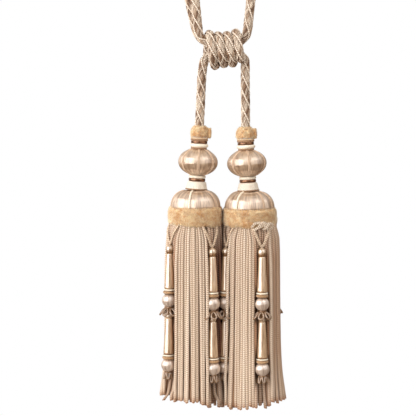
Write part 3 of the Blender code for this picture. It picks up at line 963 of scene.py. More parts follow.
# %% Many copies of one small mesh
def many(name, master, shapes, shifts):
    """One mesh with a copy of the master for each set of corner places.

    shapes is an array (copies, corners, 3) in metres, and shifts (copies, 2) moves each copy's map.
    """
    source = master.data
    copies = len(shapes)
    corners = np.zeros(len(source.loops), np.int32)
    source.loops.foreach_get("vertex_index", corners)
    starts = np.zeros(len(source.polygons), np.int32)
    source.polygons.foreach_get("loop_start", starts)
    spots = np.zeros(len(source.loops) * 2, np.float32)
    source.uv_layers[0].data.foreach_get("uv", spots)
    order = np.arange(copies, dtype=np.int32)[:, None]
    mesh = bpy.data.meshes.new(name)
    mesh.vertices.add(copies * len(source.vertices))
    mesh.loops.add(copies * len(corners))
    mesh.polygons.add(copies * len(starts))
    mesh.vertices.foreach_set("co", np.asarray(shapes, np.float32).ravel())
    mesh.loops.foreach_set("vertex_index",
                           (corners[None] + order * len(source.vertices)).ravel())
    mesh.polygons.foreach_set("loop_start", (starts[None] + order * len(corners)).ravel())
    layer = mesh.uv_layers.new(name="UVMap")
    spots = spots.reshape(1, -1, 2) + np.asarray(shifts, np.float32)[:, None, :]
    layer.data.foreach_set("uv", spots.astype(np.float32).ravel())
    mesh.update(calc_edges=True)
    mesh.validate()
    mesh.shade_smooth()
    return new_object(name, mesh)


# %% One tuft, and the plush finish
TIP_ON_MAP = 0.98


def make_tuft():
    """A four-sided point, 1 high and 1 wide, standing on the ground: map V is its height."""
    bpy.ops.object.select_all(action="DESELECT")
    bpy.ops.mesh.primitive_cone_add(vertices=4, radius1=0.5, radius2=0.0, depth=1.0,
                                    location=(0.0, 0.0, 0.5))
    tuft = bpy.context.object
    bpy.ops.object.transform_apply(location=True, rotation=True, scale=True)
    bpy.ops.object.mode_set(mode="EDIT")
    face_outwards()
    layer = tuft.data.uv_layers[0].data
    for loop in tuft.data.loops:
        layer[loop.index].uv = (0.0, tuft.data.vertices[loop.vertex_index].co.z * TIP_ON_MAP)
    return tuft


def plush_finish():
    """Golden plush: each tuft has its own tone, and painted shade darkens it from its tip to its
    root.
    """
    material, tree, shader = start_finish("golden_plush", Roughness=0.8, Sheen_Weight=0.7,
                                          Sheen_Roughness=0.5)
    parts = map_parts(tree)
    pick = node(tree, "TexWhiteNoise", {"W": maths(tree, "FLOOR", parts.outputs["X"])},
                noise_dimensions="1D").outputs["Value"]
    own = ramp(tree, pick, ((0.0, tone(232, 200, 154)), (0.35, tone(250, 228, 190)),
                            (0.7, tone(255, 242, 212)), (1.0, tone(255, 250, 234))))
    # Painted shade: a tuft darkens from its tip to its root, where the pile around it shades it
    deep = ramp(tree, parts.outputs["Y"], ((0.0, tone(212, 182, 142)),
                                           (0.45, tone(248, 238, 218)),
                                           (1.0, tone(255, 255, 252))))
    place = node(tree, "TexCoord").outputs["Object"]
    patch = node(tree, "TexNoise", {"Vector": place, "Scale": 210.0, "Detail": 4.0})
    mottle = ramp(tree, patch.outputs["Fac"], ((0.34, tone(224, 190, 152)), (0.64, WHITE)))
    colour = mix(tree, 0.9, mix(tree, 1.0, own, deep, "MULTIPLY"), mottle, "MULTIPLY")
    tree.links.new(colour, shader.inputs["Base Color"])
    return material


TUFT = make_tuft()
TUFT.hide_render = True
PLUSH = plush_finish()

# %% Cover a band with tufts
BIG_RUFF = ((22.8, -17.6), (23.8, -16.7), (25.3, -17.6), (26.1, -20.0), (26.4, -25.0),
            (26.4, -29.0), (25.8, -32.0), (24.6, -33.6), (22.8, -33.4))
TOP_RUFF = ((0.0, 64.0), (4.8, 63.8), (6.6, 62.6), (7.8, 60.4), (8.4, 57.6), (8.6, 55.0),
            (8.0, 53.3), (0.0, 53.2))
STRIP_END = ((0.0, 62.6), (1.2, 62.4), (1.9, 60.6), (2.1, 57.6), (2.0, 54.4), (1.2, 52.6),
             (0.0, 52.4))
STRIP_END_ACROSS, STRIP_END_AWAY = 9.1, -1.5
RUFFS = dict(
    plush_ruff=dict(profile=BIG_RUFF, count=9500, length=1.8, width=0.95, droop=0.3, ring=True),
    plush_top=dict(profile=TOP_RUFF, count=2600, length=1.5, width=0.7, droop=0.1, ring=False),
    strip_end=dict(profile=STRIP_END, count=500, length=1.3, width=0.7, droop=0.1, ring=False))
RUFF_SIDES = 72

# Waves round a band: how many, how far each reaches, and where it starts
RUFF_LUMPS = ((5, 0.5, 0.3), (9, 0.4, 2.0), (17, 0.3, 4.4))
LUMP_REACH, LUMPS_OUTSIDE = 0.3, 6.0
EDGE_WAVES = ((3, 0.6, 0.8), (8, 0.4, 2.0), (13, 0.3, 5.0))
EDGE_FROM, EDGE_REACH, EDGE_SAG = -25.0, 8.0, 2.2

# Tufts lean together in patches, each a little its own way, and stand taller on the lumps
ROOT_DEPTH = 0.3
PATCH_LEAN, PATCH_SCALE, PATCH_START = 0.7, 0.41, 0.37
OWN_LEAN, OWN_DROOP = 0.32, 0.28
LUMP_PUSH, LUMP_TWIST = 0.2, 0.07
# Where the base band sits on a tuft's map: a little below the middle of the painted root shade
BASE_ON_MAP = (0.5, 0.4)


def lump(angle, seed):
    """How far a band's lumps reach at this angle, from about -1 to 1."""
    return sum(size * math.sin(count * angle + start + seed) for count, size, start in RUFF_LUMPS)


def lumpy(angle, radius, seed):
    """A band's radius with its lumps, which only its outer side has."""
    return radius + (LUMP_REACH * lump(angle, seed) if radius > LUMPS_OUTSIDE else 0.0)


def edge_drop(angle, height):
    """The ruff's lower edge hangs unevenly, and lowest on its right: the drop in millimetres."""
    low = min(1.0, max(0.0, (EDGE_FROM - height) / EDGE_REACH))
    wave = sum(size * math.sin(count * angle + start) for count, size, start in EDGE_WAVES)
    return low * (wave + EDGE_SAG * max(0.0, math.sin(angle)) ** 4)


def tufts_on(name, profile, count, length, width, seed, droop):
    """Tufts all over a turned profile's outer side, spread evenly by area."""
    chance = random.Random(seed)
    noise.seed_set(seed)
    spans = [(a, b) for a, b in zip(profile, profile[1:]) if min(a[0], b[0]) > 0.0]
    weights = [math.dist(a, b) * (a[0] + b[0]) / 2 for a, b in spans]
    master = np.array([v.co for v in TUFT.data.vertices])
    shapes = []
    shifts = []
    for i in range(count):
        (r0, z0), (r1, z1) = chance.choices(spans, weights)[0]
        share = chance.random()
        angle = chance.uniform(-math.pi, math.pi)
        radius = lumpy(angle, r0 + (r1 - r0) * share, seed) - ROOT_DEPTH
        height = z0 + (z1 - z0) * share
        height -= edge_drop(angle, height)
        outward = Vector((z0 - z1, 0.0, r1 - r0)).normalized()
        push = 1.0 + LUMP_PUSH * lump(angle + LUMP_TWIST * height, seed)
        around = Matrix.Rotation(angle - math.pi / 2, 3, "Z")
        root = around @ Vector((radius, 0.0, height))
        aim = around @ outward
        patch = root * PATCH_SCALE + Vector((seed + PATCH_START, 0.0, 0.0))
        aim += PATCH_LEAN * noise.noise_vector(patch)
        aim += Vector((chance.gauss(0, OWN_LEAN), chance.gauss(0, OWN_LEAN),
                       chance.gauss(-droop, OWN_DROOP)))
        turn = aim.normalized().to_track_quat("Z", "X").to_matrix()
        size = chance.uniform(0.8, 1.2) * push
        wide = width * chance.uniform(0.8, 1.25)
        scale = Matrix.Diagonal((wide, wide, length * size))
        spin = Matrix.Rotation(chance.uniform(0, math.tau), 3, "Z")
        place = np.array(turn @ spin @ scale)
        shapes.append((master @ place.T + np.array(root)) * MM)
        shifts.append((i + 0.5, 0.0))
    return many(name, TUFT, np.array(shapes), np.array(shifts))


def make_ruff(name, profile, count, length, width, seed, droop, ring):
    """A lumpy base band with its tufts."""
    outline = list(profile) + ([profile[0]] if ring else [])
    base = turned(name, outline, RUFF_SIDES)
    move_corners(base, lambda angle, radius, height:
                 (lumpy(angle, radius, seed), height - edge_drop(angle, height)))
    smooth_turned(base, 180.0)
    for loop in base.data.uv_layers[0].data:
        loop.uv = BASE_ON_MAP
    base.data.materials.append(PLUSH)
    tufts = tufts_on(name, profile, count, length, width, seed, droop)
    tufts.data.materials.append(PLUSH)
    return join(name, [base, tufts])


for seed, tassel in enumerate(TASSELS, start=3):
    ruff, top, strip_end = [make_ruff(tassel["name"] + "_" + kind, seed=seed + 10 * i, **row)
                            for i, (kind, row) in enumerate(RUFFS.items())]
    hand_over(placed(ruff, tassel["base_frame"]), "plush", tassel["name"] + "_ruff")
    placed(strip_end, Matrix.Translation((STRIP_END_ACROSS * MM, STRIP_END_AWAY * MM, 0.0)))
    top = join(top.name, [top, strip_end])
    hand_over(placed(top, tassel["head_frame"]), "plush", tassel["name"] + "_top_ruff")

# %% [markdown]
# ## The fringe
# The skirt is chainette fringe: knitted cord about three millimetres thick, wound round the head
# in several layers and cut to length. Up close a chainette cord is a chain of V stitches, and the
# narrow places between stitches show as rows of dark dots. One stitch is modelled as two rings of
# a tube pushed into a V, an Array modifier repeats it down the cord, and copies of that cord are
# bent along each cord's own path. The second and inner rows show only between the outer cords, so
# they are copies of a plain cord, and their knit is in the colour and bump alone.

# %% One chainette cord
STITCH = 2.1
CORD_WIDTH = 3.3
CORD_SIDES = 8
CHAIN_STITCHES = 86
CHAIN_UNIT = STITCH / CORD_WIDTH
CHAIN_LENGTH = CHAIN_STITCHES * CHAIN_UNIT
WAIST = 0.87
STITCH_V = 0.6
PLAIN_SIDES, PLAIN_RINGS = 6, 24
PLAIN_WAIST = 0.97
ROUND_ON_MAP = 0.49


def make_chain(name, stitches, stitch, waist, v_depth, sides):
    """A straight cord, 1 thick, hanging down from the origin, its front towards the viewer."""
    bpy.ops.object.select_all(action="DESELECT")
    bpy.ops.mesh.primitive_circle_add(vertices=sides, radius=0.5 * waist, location=(0, 0, 0))
    chain = bpy.context.object
    chain.name = name
    bpy.ops.object.mode_set(mode="EDIT")
    bpy.ops.mesh.select_all(action="SELECT")
    bpy.ops.mesh.extrude_region_move(TRANSFORM_OT_translate={"value": (0, 0, -stitch / 2)})
    bpy.ops.transform.resize(value=(1 / waist, 1 / waist, 1), center_override=(0, 0, 0))
    bpy.ops.mesh.extrude_region_move(TRANSFORM_OT_translate={"value": (0, 0, -stitch / 2)})
    bpy.ops.transform.resize(value=(waist, waist, 1), center_override=(0, 0, 0))
    bpy.ops.object.mode_set(mode="OBJECT")
    for vert in chain.data.vertices:
        vert.co.z += v_depth * stitch * (abs(vert.co.x) - 0.25)
    repeat = chain.modifiers.new("Stitches", "ARRAY")
    repeat.count = stitches
    repeat.use_relative_offset = False
    repeat.use_constant_offset = True
    repeat.constant_offset_displace = (0, 0, -stitch)
    repeat.use_merge_vertices = True
    repeat.merge_threshold = 0.001
    select_only(chain)
    bpy.ops.object.modifier_apply(modifier="Stitches")
    bpy.ops.object.mode_set(mode="EDIT")
    bpy.ops.mesh.select_all(action="DESELECT")
    bpy.ops.mesh.select_non_manifold()
    bpy.ops.mesh.edge_face_add()
    face_outwards()
    chain.hide_render = True
    # U is the length along the cord, and V goes once round it, from 0 to just under 1
    write_map(chain.data, lambda place: math.atan2(place.x, -place.y),
              lambda turn, height: (-height, 0.5 + ROUND_ON_MAP * turn / math.pi))
    return chain


CHAIN = make_chain("chainette", CHAIN_STITCHES, CHAIN_UNIT, WAIST, STITCH_V, CORD_SIDES)
PLAIN = make_chain("plain_cord", PLAIN_RINGS, CHAIN_LENGTH / PLAIN_RINGS, PLAIN_WAIST, 0.0,
                   PLAIN_SIDES)
print("chainette cord:", triangles(CHAIN), "triangles; plain:", triangles(PLAIN))

# %% [markdown]
# ### Knit and shade
# The finish paints shade into the waists between stitches and darkens the cut end. Each cord has
# its own tone of cream, picked by its number, which is the whole part of V. The number also
# carries how deep in shade the cord hangs, in steps of a thousand: in the open, on the right of
# the right tassel, behind a mould, or in the gap between the tassels, and that shade is painted
# into its colour. Soft studio light alone leaves these places paler than the photograph shows
# them. The painted shade is weaker near both ends of a cord. The second row is a darker copy of
# the finish and the inner row is brown, both as painted shade further inside the skirt.

# %% The fringe's finish
SHADE_STEP = 1000.0
IN_THE_OPEN, RIGHT_SIDE, BEHIND_MOULD, IN_THE_GAP = range(4)
SHADE_TONES = (WHITE, tone(226, 207, 193), tone(190, 157, 132), tone(128, 86, 58))


def grey(level):
    return (level, level, level, 1.0)


def chainette_finish(name, light):
    """Cream-beige knit: light stitches with painted shade in the waists between them, darker at the
    cut.
    """
    material, tree, shader = start_finish(name, Roughness=0.6, Sheen_Weight=0.3,
                                          Sheen_Roughness=0.45)
    thread = map_parts(tree)
    number = maths(tree, "FLOOR", thread.outputs["Y"])
    around = maths(tree, "FRACT", thread.outputs["Y"])
    side = maths(tree, "ABSOLUTE", maths(tree, "SUBTRACT", around, 0.5))
    slope = maths(tree, "MULTIPLY_ADD", side, 2.2, maths(tree, "DIVIDE", thread.outputs["X"],
                                                         CHAIN_UNIT))
    wave = maths(tree, "SINE", maths(tree, "MULTIPLY", slope, math.tau))
    knit = maths(tree, "MULTIPLY_ADD", wave, 0.5, 0.5)
    pick = node(tree, "TexWhiteNoise", {"W": number}, noise_dimensions="1D").outputs["Value"]
    own = ramp(tree, pick, ((0.0, tone(214, 197, 176)), (0.5, tone(229, 214, 195)),
                            (1.0, tone(241, 230, 213))))
    # Painted shade in the waists between stitches, where the knit narrows
    shade = ramp(tree, knit, ((0.0, tone(186, 152, 128)), (0.4, tone(242, 230, 220)),
                              (0.7, tone(255, 253, 250))))
    down = maths(tree, "DIVIDE", thread.outputs["X"], CHAIN_LENGTH)
    cut = ramp(tree, down, ((0.965, WHITE), (1.0, tone(212, 182, 158))))
    # Painted shade by how deep the cord hangs, read from the thousands in its number, and weaker
    # near both of its ends
    step = maths(tree, "DIVIDE", number, SHADE_STEP * len(SHADE_TONES))
    painted_depth_shade = ramp(tree, step, [(i / len(SHADE_TONES), shaded)
                               for i, shaded in enumerate(SHADE_TONES)], "CONSTANT")
    most = ramp(tree, down, ((0.03, grey(0.25)), (0.2, WHITE), (0.72, WHITE), (0.93, grey(0.35))))
    own = mix(tree, most, own, painted_depth_shade, "MULTIPLY")
    # The tint is white on the outer row, and darker on the second row as painted shade further in
    knitted = mix(tree, 1.0, mix(tree, 1.0, own, light, "MULTIPLY"), shade, "MULTIPLY")
    tree.links.new(mix(tree, 1.0, knitted, cut, "MULTIPLY"), shader.inputs["Base Color"])
    bump(tree, shader, knit, 0.35, 0.8)
    return material


def inner_cord_finish():
    """The same cord further in, painted soft brown all over as the shade that it hangs in."""
    material, tree, shader = start_finish("inner_cord_shaded", Roughness=0.75, Sheen_Weight=0.2,
                                          Sheen_Roughness=0.5)
    thread = map_parts(tree)
    wave = maths(tree, "SINE", maths(tree, "MULTIPLY", thread.outputs["X"],
                                     math.tau / CHAIN_UNIT))
    knit = maths(tree, "MULTIPLY_ADD", wave, 0.5, 0.5)
    tree.links.new(ramp(tree, knit, ((0.0, tone(112, 76, 54)), (1.0, tone(168, 132, 104)))),
                   shader.inputs["Base Color"])
    bump(tree, shader, knit, 0.3, 0.8)
    return material


CHAINETTE = chainette_finish("chainette_knit", WHITE)
# The second row is the same knit painted darker, as shade further inside the skirt
SHADED_SECOND_CORD = chainette_finish("second_row_shaded_knit", tone(222, 198, 178))
SHADED_INNER_CORD = inner_cord_finish()
print("fringe finishes:", CHAINETTE.name, SHADED_SECOND_CORD.name, SHADED_INNER_CORD.name)

# %% [markdown]
# ### How the cords hang
# The hanging moulds press into the fringe. A cord that meets one hangs behind it, and the others
# stay beside it, so the fringe stands in panels whose edges curl a little way round the moulds.
# Near the ruff the cords part round each mould's V of strings, and the panels look arched. Every
# cord also drifts a little, from numbers drawn with a fixed seed, starts its stitches at its own
# height, and is cut at its own length.

# %% The skirt's shape
# Its outer radius by depth below the dome's top, the plane where the two skirts meet, and how far
# each may press into the other
SKIRT_BELOW = (28.0, 34.0, 38.0, 44.0, 60.0, 100.0, 150.0, 185.0, 212.0)
SKIRT_RADIUS = (23.6, 24.4, 25.8, 27.6, 28.3, 28.7, 29.5, 30.9, 32.6)
MIDPLANE = 0.1
PRESSED = 0.6
HANGER_RADIUS = 28.0
HANGER_TOP = -54.4

# Each string of moulds by its angle from the front, how much lower it hangs, how far it leans
# out, and how far to its left and right the fringe's panels begin, in degrees
HANGERS = dict(
    left=(dict(angle=-150.0, drop=-0.8, lean=1.0, beside=(15.0, 15.0)),
          dict(angle=-59.0, drop=-1.5, lean=0.95, beside=(15.0, 22.0)),
          dict(angle=39.5, drop=0.8, lean=0.7, beside=(14.5, 22.0), arch=6.0),
          dict(angle=133.0, drop=0.0, lean=1.0, beside=(15.0, 15.0))),
    right=(dict(angle=-155.0, drop=0.0, lean=1.0, beside=(15.0, 15.0)),
           dict(angle=-65.5, drop=0.2, lean=0.6, beside=(15.0, 12.0)),
           dict(angle=19.8, drop=-0.8, lean=0.7, beside=(18.0, 19.0)),
           dict(angle=128.0, drop=0.6, lean=1.0, beside=(15.0, 15.0))))

# The room that a string of moulds takes, by depth below the top of its bead
MOULD_DEPTH = (-14, 0, 4, 12, 40, 45, 50, 60, 66, 72, 76, 106, 111, 116, 125, 131, 140, 165)
MOULD_ROOM = (1.0, 2.5, 4.6, 4.3, 5.0, 6.4, 7.1, 7.1, 7.4, 6.6, 4.3, 5.0, 6.4, 7.1, 6.8, 5.2, 4.4,
              3.4)

# A panel's edge curls outwards, from one depth to another, and flattens again at its foot
CURL, CURL_WIDTH = 1.7, 9.0
CURL_FROM, CURL_TO = 38.0, 80.0
FOOT_FROM, FOOT_TO = 185.0, 212.0
PUSHED_OUT = 0.8
# Cords arch aside of a string's V near the ruff, and those behind a mould sink inwards
ARCH_TURN, ARCH_REACH = 11.0, 42.0
ARCH_FROM, ARCH_TO = 32.0, 48.0
SUNK_FROM, SUNK_TO = 29.0, 44.0
BEHIND_SPREAD = 0.5
# The skirt swells towards the other tassel, and flares at the foot of its outer side
TOUCH, TOUCH_WIDTH, TOUCH_RADIUS = 90.0, 24.0, 29.2
TOUCH_FROM, TOUCH_TO = 27.0, 34.0
FLARE, FLARE_WIDTH = 3.8, 30.0
FLARE_FROM, FLARE_TO = 165.0, 230.0
FLARE_ANGLE = dict(left=-90.0, right=90.0)
# Cords behind a mould keep clear of its panels' edges, and hang a little closer together
BEHIND_INSET, BEHIND_CLOSER = 4.0, 0.8
PATH_POINTS = 30


def apart(angle, other):
    return (angle - other + 180.0) % 360.0 - 180.0


def ease(value, start, end):
    """From 0 before start to 1 after end, smoothly."""
    share = min(1.0, max(0.0, (value - start) / (end - start)))
    return share * share * (3.0 - 2.0 * share)


def mould_room(below, row):
    return float(np.interp(below + HANGER_TOP - row["drop"], MOULD_DEPTH, MOULD_ROOM))


def nearest_mould(angle, side):
    """The hanging mould nearest to an angle, and how far past it the angle is."""
    row = min(HANGERS[side], key=lambda row: abs(apart(angle, row["angle"])))
    return row, apart(angle, row["angle"])


def cord_angles(side, spacing, inset):
    """Where the cords of a layer hang, in order: (angle, whether it is behind a mould)."""
    rows = HANGERS[side]
    places = []
    for row, following in zip(rows, rows[1:] + rows[:1]):
        before, after = row["beside"]
        first, last = row["angle"] - before + BEHIND_INSET, row["angle"] + after - BEHIND_INSET
        count = max(3, round((last - first) / (spacing - BEHIND_CLOSER)))
        places += [(float(angle), True) for angle in np.linspace(first, last, count)]
        first = row["angle"] + after + inset
        last = first + apart(following["angle"] - following["beside"][0] - inset, first) % 360.0
        count = max(3, round((last - first) / spacing) + 1)
        places += [(float(angle), False) for angle in np.linspace(first, last, count)]
    return places


def skirt_radius(angle, below, side):
    """The outer face, which swells to meet the other tassel's skirt."""
    radius = float(np.interp(below, SKIRT_BELOW, SKIRT_RADIUS))
    toward = apart(angle, TOUCH if side == "left" else -TOUCH)
    swell = math.exp(-(toward / TOUCH_WIDTH) ** 2) * ease(below, TOUCH_FROM, TOUCH_TO)
    return radius + max(0.0, TOUCH_RADIUS - radius) * swell


def cord_place(angle, below, side, layer, behind):
    """A cord's angle and radius at a depth: behind a mould, or beside it in a panel."""
    row, aside = nearest_mould(angle, side)
    full = skirt_radius(angle, below, side) - CORD_WIDTH / 2 - layer
    past = ease(below, ARCH_FROM, ARCH_TO)
    across = HANGER_RADIUS * math.sin(math.radians(aside))
    along = HANGER_RADIUS * math.cos(math.radians(aside))
    reach = math.sqrt(max(0.0, (mould_room(below, row) + CORD_WIDTH / 2) ** 2 - across ** 2))
    if behind:
        back = min(full, along - reach - layer) if reach > 0.0 else full
        spread = 1.0 + BEHIND_SPREAD - BEHIND_SPREAD * past
        sunk = ease(below, SUNK_FROM, SUNK_TO)
        return row["angle"] + aside * spread, full + (back - full) * sunk
    edge = abs(aside) - row["beside"][1 if aside > 0.0 else 0]
    curl = CURL * math.exp(-(edge / CURL_WIDTH) ** 2)
    if layer == 0.0 and reach > 0.0:
        curl = max(curl, min(curl + PUSHED_OUT, along + reach - full))
    curl *= ease(below, CURL_FROM, CURL_TO) * (1.0 - ease(below, FOOT_FROM, FOOT_TO))
    spread = row.get("arch", ARCH_TURN) * (1.0 - past) * max(0.0, 1.0 - abs(aside) / ARCH_REACH)
    return row["angle"] + aside + math.copysign(spread, aside), full + curl


def clear_of(place, other, room):
    """Move a point straight towards the tassel's axis until it is clear of a neighbour."""
    reach = math.hypot(*place)
    along = (place[0] * other[0] + place[1] * other[1]) / reach
    inside = along ** 2 - other[0] ** 2 - other[1] ** 2 + room ** 2
    if inside <= 0.0 or math.dist(place, other) >= room:
        return place
    share = (along - math.sqrt(inside)) / reach
    return place[0] * share, place[1] * share


def neighbour_mould():
    """Where the right tassel's inner string hangs, seen from the left skirt's axis."""
    row = HANGERS["right"][1]
    left, right = TASSELS
    angle = math.radians(row["angle"])
    return (HANGER_RADIUS * math.sin(angle) + right["skirt_across"] - left["skirt_across"],
            -HANGER_RADIUS * math.cos(angle))


def cord_path(tassel, angle, behind, layer, lean, wobble, bottom, phase):
    """Points from under the ruff to the cord's cut end, in the skirt's frame, in millimetres.

    wobble is how far it drifts sideways, in degrees, and in and out, each with where it starts.
    """
    side = tassel["name"]
    other_top = TASSELS[1]["top"] - TASSELS[0]["top"]
    middle = MIDPLANE - tassel["skirt_across"]
    points = []
    for below in np.linspace(SKIRT_BELOW[0] - phase, bottom, PATH_POINTS):
        down = (below - SKIRT_BELOW[0]) / (SKIRT_BELOW[-1] - SKIRT_BELOW[0])
        turned_to = angle + lean * down ** 2 + wobble[0] * math.sin(5.0 * down + wobble[1])
        turned_to, radius = cord_place(turned_to, below, side, layer, behind)
        radius += wobble[2] * math.sin(7.0 * down + wobble[3]) * min(1.0, max(0.0, 4 * down))
        flare = math.exp(-(apart(angle, FLARE_ANGLE[side]) / FLARE_WIDTH) ** 2)
        radius += FLARE * flare * ease(below, FLARE_FROM, FLARE_TO)
        radians = math.radians(turned_to)
        x, y = radius * math.sin(radians), -radius * math.cos(radians)
        if side == "left":
            room = mould_room(below - other_top, HANGERS["right"][1]) + CORD_WIDTH / 2
            x, y = clear_of((x, y), neighbour_mould(), room)
            x = min(x, middle + PRESSED - CORD_WIDTH / 2 - layer)
        else:
            x = max(x, middle - PRESSED + CORD_WIDTH / 2 + layer)
        points.append((x, y, -below))
    return np.array(points)


def bent_copy(master, path, width):
    """The master cord's corners carried onto a path; width scales it sideways at each step."""
    corners = np.array([v.co for v in master.data.vertices])
    length = -corners[:, 2].min()
    share = np.clip(-corners[:, 2] / length, 0.0, 1.0)
    travelled = distances(path)
    wanted = share * travelled[-1]
    centre = points_at(path, wanted)
    outward = centre * (1.0, 1.0, 0.0)
    outward /= np.linalg.norm(outward, axis=1)[:, None]
    sideways = np.cross(outward, (0.0, 0.0, -1.0))
    wide = np.interp(wanted, travelled, width)[:, None] * CORD_WIDTH
    aside = corners[:, :1] * sideways * wide
    inward = corners[:, 1:2] * outward * CORD_WIDTH
    return (centre + aside - inward) * MM


print("strings of moulds:", {side: len(rows) for side, rows in HANGERS.items()})

# %% [markdown]
# ### Three rows of cords
# The outer row hangs at the skirt's face, and two more hang inside it, each a little shorter. A
# cord's neighbours say how wide it can be, so cords that are crowded together turn narrower and
# the face stays closed.

# %% Hang the cords
# How far below the dome's top the fringe is cut, by angle from the front
CUT_BELOW = dict(
    left=((-180, 210.0), (-100, 207.0), (-65, 205.5), (-40, 206.5), (0, 208.5), (30, 211.5),
          (55, 212.5), (90, 213.0), (180, 210.0)),
    right=((-180, 210.0), (-100, 213.0), (-65, 214.0), (-25, 213.0), (12, 211.0), (40, 209.0),
           (85, 208.0), (180, 210.0)))
CUT_SPREAD = 4.0
LONGER_BEHIND = 2.5
GAP_ANGLES = dict(left=(50.0, 104.0), right=(-112.0, -74.0))
RIGHT_SIDE_ANGLES = (42.0, 120.0)

# The rows of cords from the outside in: spacing and inset from a panel's edge in degrees, depth
# and how much shorter in millimetres
ROWS = (
    dict(name="_fringe", spacing=6.0, inset=0.0, layer=0.0, shorter=0.0, master=CHAIN,
         finish=CHAINETTE),
    dict(name="_fringe_second", spacing=6.8, inset=4.0, layer=3.2, shorter=1.5, master=PLAIN,
         finish=SHADED_SECOND_CORD),
    dict(name="_fringe_inner", spacing=9.0, inset=4.0, layer=6.6, shorter=2.5, master=PLAIN,
         finish=SHADED_INNER_CORD),
)

# How much a cord's place, drift, lean and depth vary
PLACE_SPREAD = 0.09
SIDE_DRIFT, DEPTH_DRIFT, DRIFT_START = 0.6, 0.3, 6.3
LEAN_SPREAD = 1.5
STAGGER, STAGGER_SPREAD = 0.4, 0.3
NARROWEST, WIDEST = 0.72, 1.06


def cord_shade(side, angle, behind):
    """What to add to a cord's number, so that its finish knows how shaded it hangs."""
    low, high = GAP_ANGLES[side]
    if low < angle < high:
        return IN_THE_GAP * SHADE_STEP
    if behind:
        return BEHIND_MOULD * SHADE_STEP
    low, high = RIGHT_SIDE_ANGLES
    return (RIGHT_SIDE if side == "right" and low < angle < high else IN_THE_OPEN) * SHADE_STEP


def hang_row(tassel, seed, name, spacing, inset, layer, shorter, master, finish):
    """A ring of cords at one depth inside the skirt's outer face."""
    chance = random.Random(seed)
    angles, cuts = zip(*CUT_BELOW[tassel["name"]])
    places = cord_angles(tassel["name"], spacing, inset)
    paths = []
    for i, (angle, behind) in enumerate(places):
        angle += chance.uniform(-PLACE_SPREAD, PLACE_SPREAD) * spacing
        wobble = (chance.gauss(0, SIDE_DRIFT), chance.uniform(0, DRIFT_START),
                  chance.gauss(0, DEPTH_DRIFT), chance.uniform(0, DRIFT_START))
        bottom = np.interp(apart(angle, 0.0), angles, cuts) - shorter
        bottom += chance.uniform(-0.5, 0.5) * CUT_SPREAD + (LONGER_BEHIND if behind else 0.0)
        stagger = STAGGER * (-1) ** i + chance.uniform(-STAGGER_SPREAD, STAGGER_SPREAD)
        paths.append(cord_path(tassel, angle, behind, layer, chance.gauss(0, LEAN_SPREAD), wobble,
                               bottom, chance.uniform(0.0, STITCH)))
        paths[-1][:, :2] *= 1.0 - stagger / HANGER_RADIUS
    shapes = []
    shifts = []
    for i, path in enumerate(paths):
        before, after = paths[i - 1], paths[(i + 1) % len(paths)]
        room = (np.linalg.norm(path - before, axis=1) + np.linalg.norm(after - path, axis=1)) / 2
        width = np.clip(room / CORD_WIDTH, NARROWEST, WIDEST)
        shapes.append(bent_copy(master, path, width))
        shifts.append((0.0, i + cord_shade(tassel["name"], *places[i])))
    cords = many(tassel["name"] + name, master, np.array(shapes), np.array(shifts))
    cords.data.materials.append(finish)
    return placed(cords, tassel["skirt_frame"])


for seed, tassel in enumerate(TASSELS, start=21):
    outer, second, inner = [hang_row(tassel, seed + 10 * i, **row) for i, row in enumerate(ROWS)]
    hand_over(outer, "fringe", tassel["name"] + "_skirt")
    hand_over(second, "fringe")
    hand_over(inner, "fringe")

# %% [markdown]
# ## The hanging moulds
# In front of the fringe hang strings of small moulds: a bead, a long spindle, a cream ring over a
# gold-brown collar, and a pearly ball, then a cup of gimp loops with a little bead in it, and the
# same spindle, ring and ball again over a bunch of short loops. Each is turned and wrapped like the
# heads. One string is modelled about its own upright axis and copied to all eight places.

# %% Finishes for the moulds
SPINDLE_SILK = silk_finish("spindle_silk", tone(226, 192, 154), tone(148, 112, 80), threads=110.0,
                           roughness=0.18, anisotropy=0.0, metallic=0.1, ior=3.3)
PEARL = silk_finish("pearl_silk", tone(230, 210, 192), tone(156, 128, 108), threads=130.0,
                    roughness=0.3, anisotropy=0.9, metallic=0.2, ior=3.4)
BEAD_SILK = silk_finish("bead_silk", tone(212, 182, 146), tone(140, 104, 72), threads=90.0,
                        roughness=0.22, anisotropy=0.7, metallic=0.15, ior=3.6)
DARK_GOLD = silk_finish("dark_gold", tone(150, 108, 66), tone(92, 60, 34), threads=90.0,
                        roughness=0.3, anisotropy=0.3, metallic=0.3, ior=2.0)
GOLD_BRAID = cream_finish("gold_braid", tone(212, 170, 122), tone(132, 92, 56), ridges=5.0,
                          starts=36, depth=0.3)
STRING_CORD = cord_finish("string_cord", tone(240, 220, 194), tone(168, 132, 100),
                          twist=3.4, depth=0.2, roughness=0.45)
PALE_STRING = cord_finish("pale_string", tone(246, 232, 212), tone(158, 124, 94),
                          twist=3.4, depth=0.2, roughness=0.4)


def gimp_finish():
    """Gimp: a core covered with silk wound tightly round it, so fine rings cross it, with painted
    shade dark in the grooves between them.
    """
    material, tree, shader = start_finish("gimp_loop", Roughness=0.22, Metallic=0.1, IOR=2.2)
    along = map_parts(tree).outputs["X"]
    wave = maths(tree, "SINE", maths(tree, "MULTIPLY", along, 9.0))
    height = maths(tree, "MULTIPLY_ADD", wave, 0.5, 0.5)
    # Painted shade: dark in the grooves between the wound rings, light on the rings
    tree.links.new(ramp(tree, height, ((0.0, tone(72, 48, 32)), (0.7, tone(170, 134, 100)))),
                   shader.inputs["Base Color"])
    bump(tree, shader, height, 0.05, 0.6)
    return material


